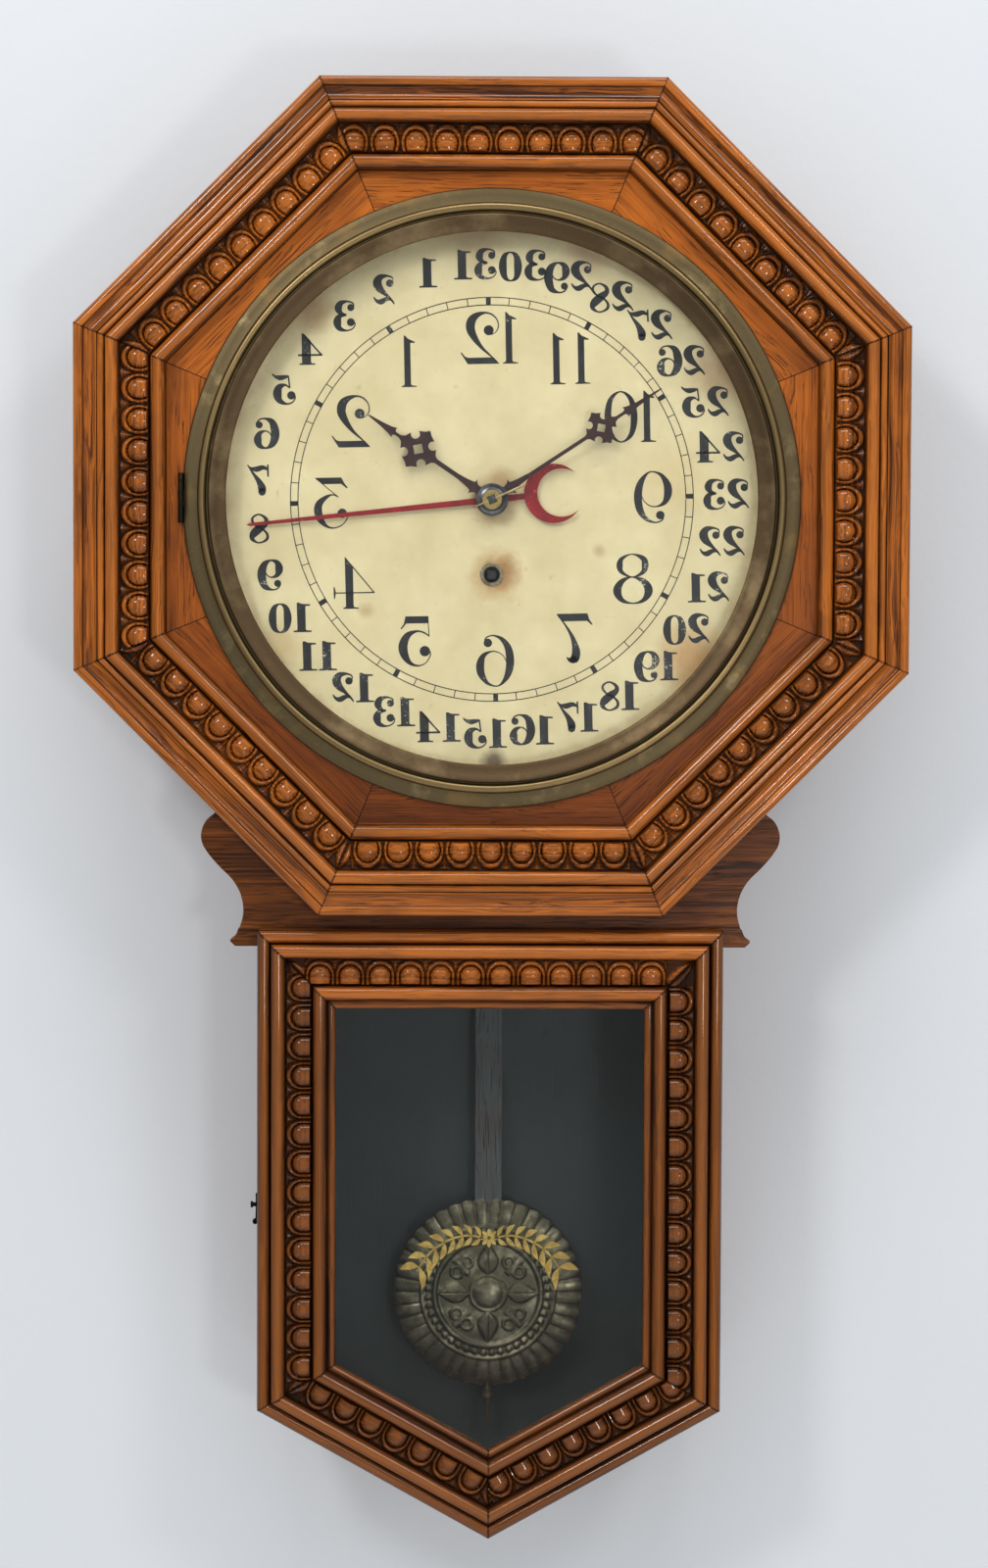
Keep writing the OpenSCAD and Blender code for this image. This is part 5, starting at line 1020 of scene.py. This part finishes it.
# Gilt spray: two mirrored sprays of leaves that start from a small rosette. They are gold leaf, laid on the
# face of the door's glass in front of the bob.
gilding, tree, shader = material("gilding", Metallic=0.7)
leaf_film = grouped(tree, metal_film, {
    "Place": object_mm(tree), "Clean": rgb(214, 188, 108), "Film": rgb(176, 148, 80), "Cover": 0.5,
    "Gloss": 0.42, "Size": 0.2})
connect(tree, shader, leaf_film, 0.1)
gilt_face = 108.07
rosette_z = -413
narrower = 0.86
bm = bmesh.new()
for side_of in (-1, 1):
    def put(x, y, s=side_of):
        return at(s * x * narrower, gilt_face, y)

    stem = [(3.5, rosette_z, 0.9), (14, -411.6, 1.1), (26, -414.2, 1.2), (38, -421.0, 1.1),
            (47.0, -431.5, 0.5)]
    ribbon(bm, stem, put)
    line = through(stem, 8)
    for k in range(1, 9):
        x, y = line[k * 4 - 2][:2]
        ahead_x, ahead_y = line[min(k * 4, len(line) - 1)][:2]
        lean = math.atan2(ahead_y - y, ahead_x - x)
        size = 7.0 + 0.75 * k
        for turn_of in (1, -1):
            a = lean + turn_of * math.radians(46)
            tip = (x + size * math.cos(a), y + size * math.sin(a))
            a += turn_of * 0.22
            belly = (x + size * 0.5 * math.cos(a), y + size * 0.5 * math.sin(a))
            ribbon(bm, [(x, y, 0.3), (*belly, size * 0.34), (*tip, 0.15)], put, steps=5)
for k in range(8):
    a = math.radians(45 * k)
    petal = ((1.0, 0.6), (3.4, 2.3), (5.4, 0.3))
    ribbon(bm, [(r * math.cos(a), rosette_z + r * math.sin(a), w) for r, w in petal],
           lambda x, y: at(x, gilt_face, y), steps=4)
face_room(bm)
settle(bm, "gilt_spray", "door", gilding, smooth=False)


# Camera, light and room: the clock hangs on a pale plaster wall over a pale floor, and is seen from two
# metres away. Two lamps stand high at the left and the right, a weak one low, and a wide one above.
scene = bpy.context.scene
camera_data = bpy.data.cameras.new("camera")
camera_data.sensor_fit = "VERTICAL"
camera_data.sensor_height = 36.0
camera_data.lens = 78.07
camera_data.clip_start = 0.05
camera = bpy.data.objects.new("camera", camera_data)
scene.collection.objects.link(camera)
pitch, yaw, roll = 0.0484, -0.0084, 0.0041
ahead = Vector((-math.sin(yaw) * math.cos(pitch), math.cos(yaw) * math.cos(pitch), -math.sin(pitch)))
level = Vector((math.cos(yaw), math.sin(yaw), 0))
above = level.cross(ahead)
right = level * math.cos(roll) + above * math.sin(roll)
up = above * math.cos(roll) - level * math.sin(roll)
turned_to = Matrix((right, up, -ahead)).transposed().to_4x4()
camera_place = (-0.0142, -2.0, -0.0665)
camera.matrix_world = Matrix.Translation(camera_place) @ turned_to
scene.camera = camera
scene.view_settings.view_transform = "Standard"


def lamp(name, place, aim, width, tall, power):
    data = bpy.data.lights.new(name, "AREA")
    data.shape = "RECTANGLE"
    data.size, data.size_y = width, tall
    data.energy = power
    made = bpy.data.objects.new(name, data)
    scene.collection.objects.link(made)
    made.location = place
    made.rotation_euler = (Vector(aim) - Vector(place)).to_track_quat("-Z", "Y").to_euler()


lamp("lamp_left", (-1.1, -2.1, 1.2), (0, 0, -0.1), 0.4, 0.4, 13.5)
lamp("lamp_right", (1.3, -2.2, 1.4), (0, 0, -0.1), 0.5, 0.4, 8)
lamp("lamp_low", (0.6, -2.3, -0.45), (0, 0, 0), 0.22, 0.22, 4.5)
lamp("lamp_top", (0.1, -1.3, 2.2), (0, 0, -0.05), 1.2, 0.6, 16)

world = bpy.data.worlds.new("world")
scene.world = world
world.use_nodes = True
tree = world.node_tree
back = tree.nodes["Background"]
path = node(tree, "LightPath").outputs
strength = plus(tree, 0.68, times(tree, path["Is Camera Ray"], 0.3))
strength = minus(tree, strength, times(tree, path["Is Glossy Ray"], 0.4))
back.inputs["Color"].default_value = (0.82, 0.85, 0.88, 1)
tree.links.new(strength, back.inputs["Strength"])


def sheet(name, half, tilt, middle, made_material):
    """A flat square of the room."""
    mesh = bpy.data.meshes.new(name)
    bm = bmesh.new()
    bmesh.ops.create_grid(bm, x_segments=1, y_segments=1, size=half)
    bmesh.ops.rotate(bm, verts=bm.verts, matrix=Matrix.Rotation(math.radians(tilt), 3, "X"))
    bmesh.ops.translate(bm, verts=bm.verts, vec=middle)
    bm.to_mesh(mesh)
    bm.free()
    mesh.materials.append(made_material)
    piece = bpy.data.objects.new(name, mesh)
    scene.collection.objects.link(piece)


def plain_paint(name, roughness, scale, detail, dark, light):
    made, tree, shader = material(name, Roughness=roughness)
    mottle = noise(tree, object_mm(tree), scale, detail)
    tree.links.new(mixed(tree, mottle, dark, light), shader.inputs["Base Color"])
    return made, tree, shader


# The wall doesn't show from behind, and it lets the light of the room through.
paint, tree, shader = plain_paint("wall_paint", 0.9, 0.004, 4.0, rgb(230, 233, 236), rgb(236, 238, 240))
bump_by(tree, shader, noise(tree, object_mm(tree), 0.12, 4.0), 0.12, 0.002)
path = node(tree, "LightPath").outputs
behind = node(tree, "NewGeometry").outputs["Backfacing"]
clear_where(tree, shader, calc(tree, "MAXIMUM", behind, calc(tree, "MAXIMUM", path["Is Shadow Ray"],
                                                             path["Is Diffuse Ray"])))
sheet("wall", 3.0, 90, (0, 0.0008, 0.3), paint)
floor_paint = plain_paint("floor_paint", 0.8, 0.003, 3.0, rgb(216, 216, 216), rgb(226, 226, 226))[0]
sheet("floor", 1.3, 0, (0, -1.3, -1.3), floor_paint)
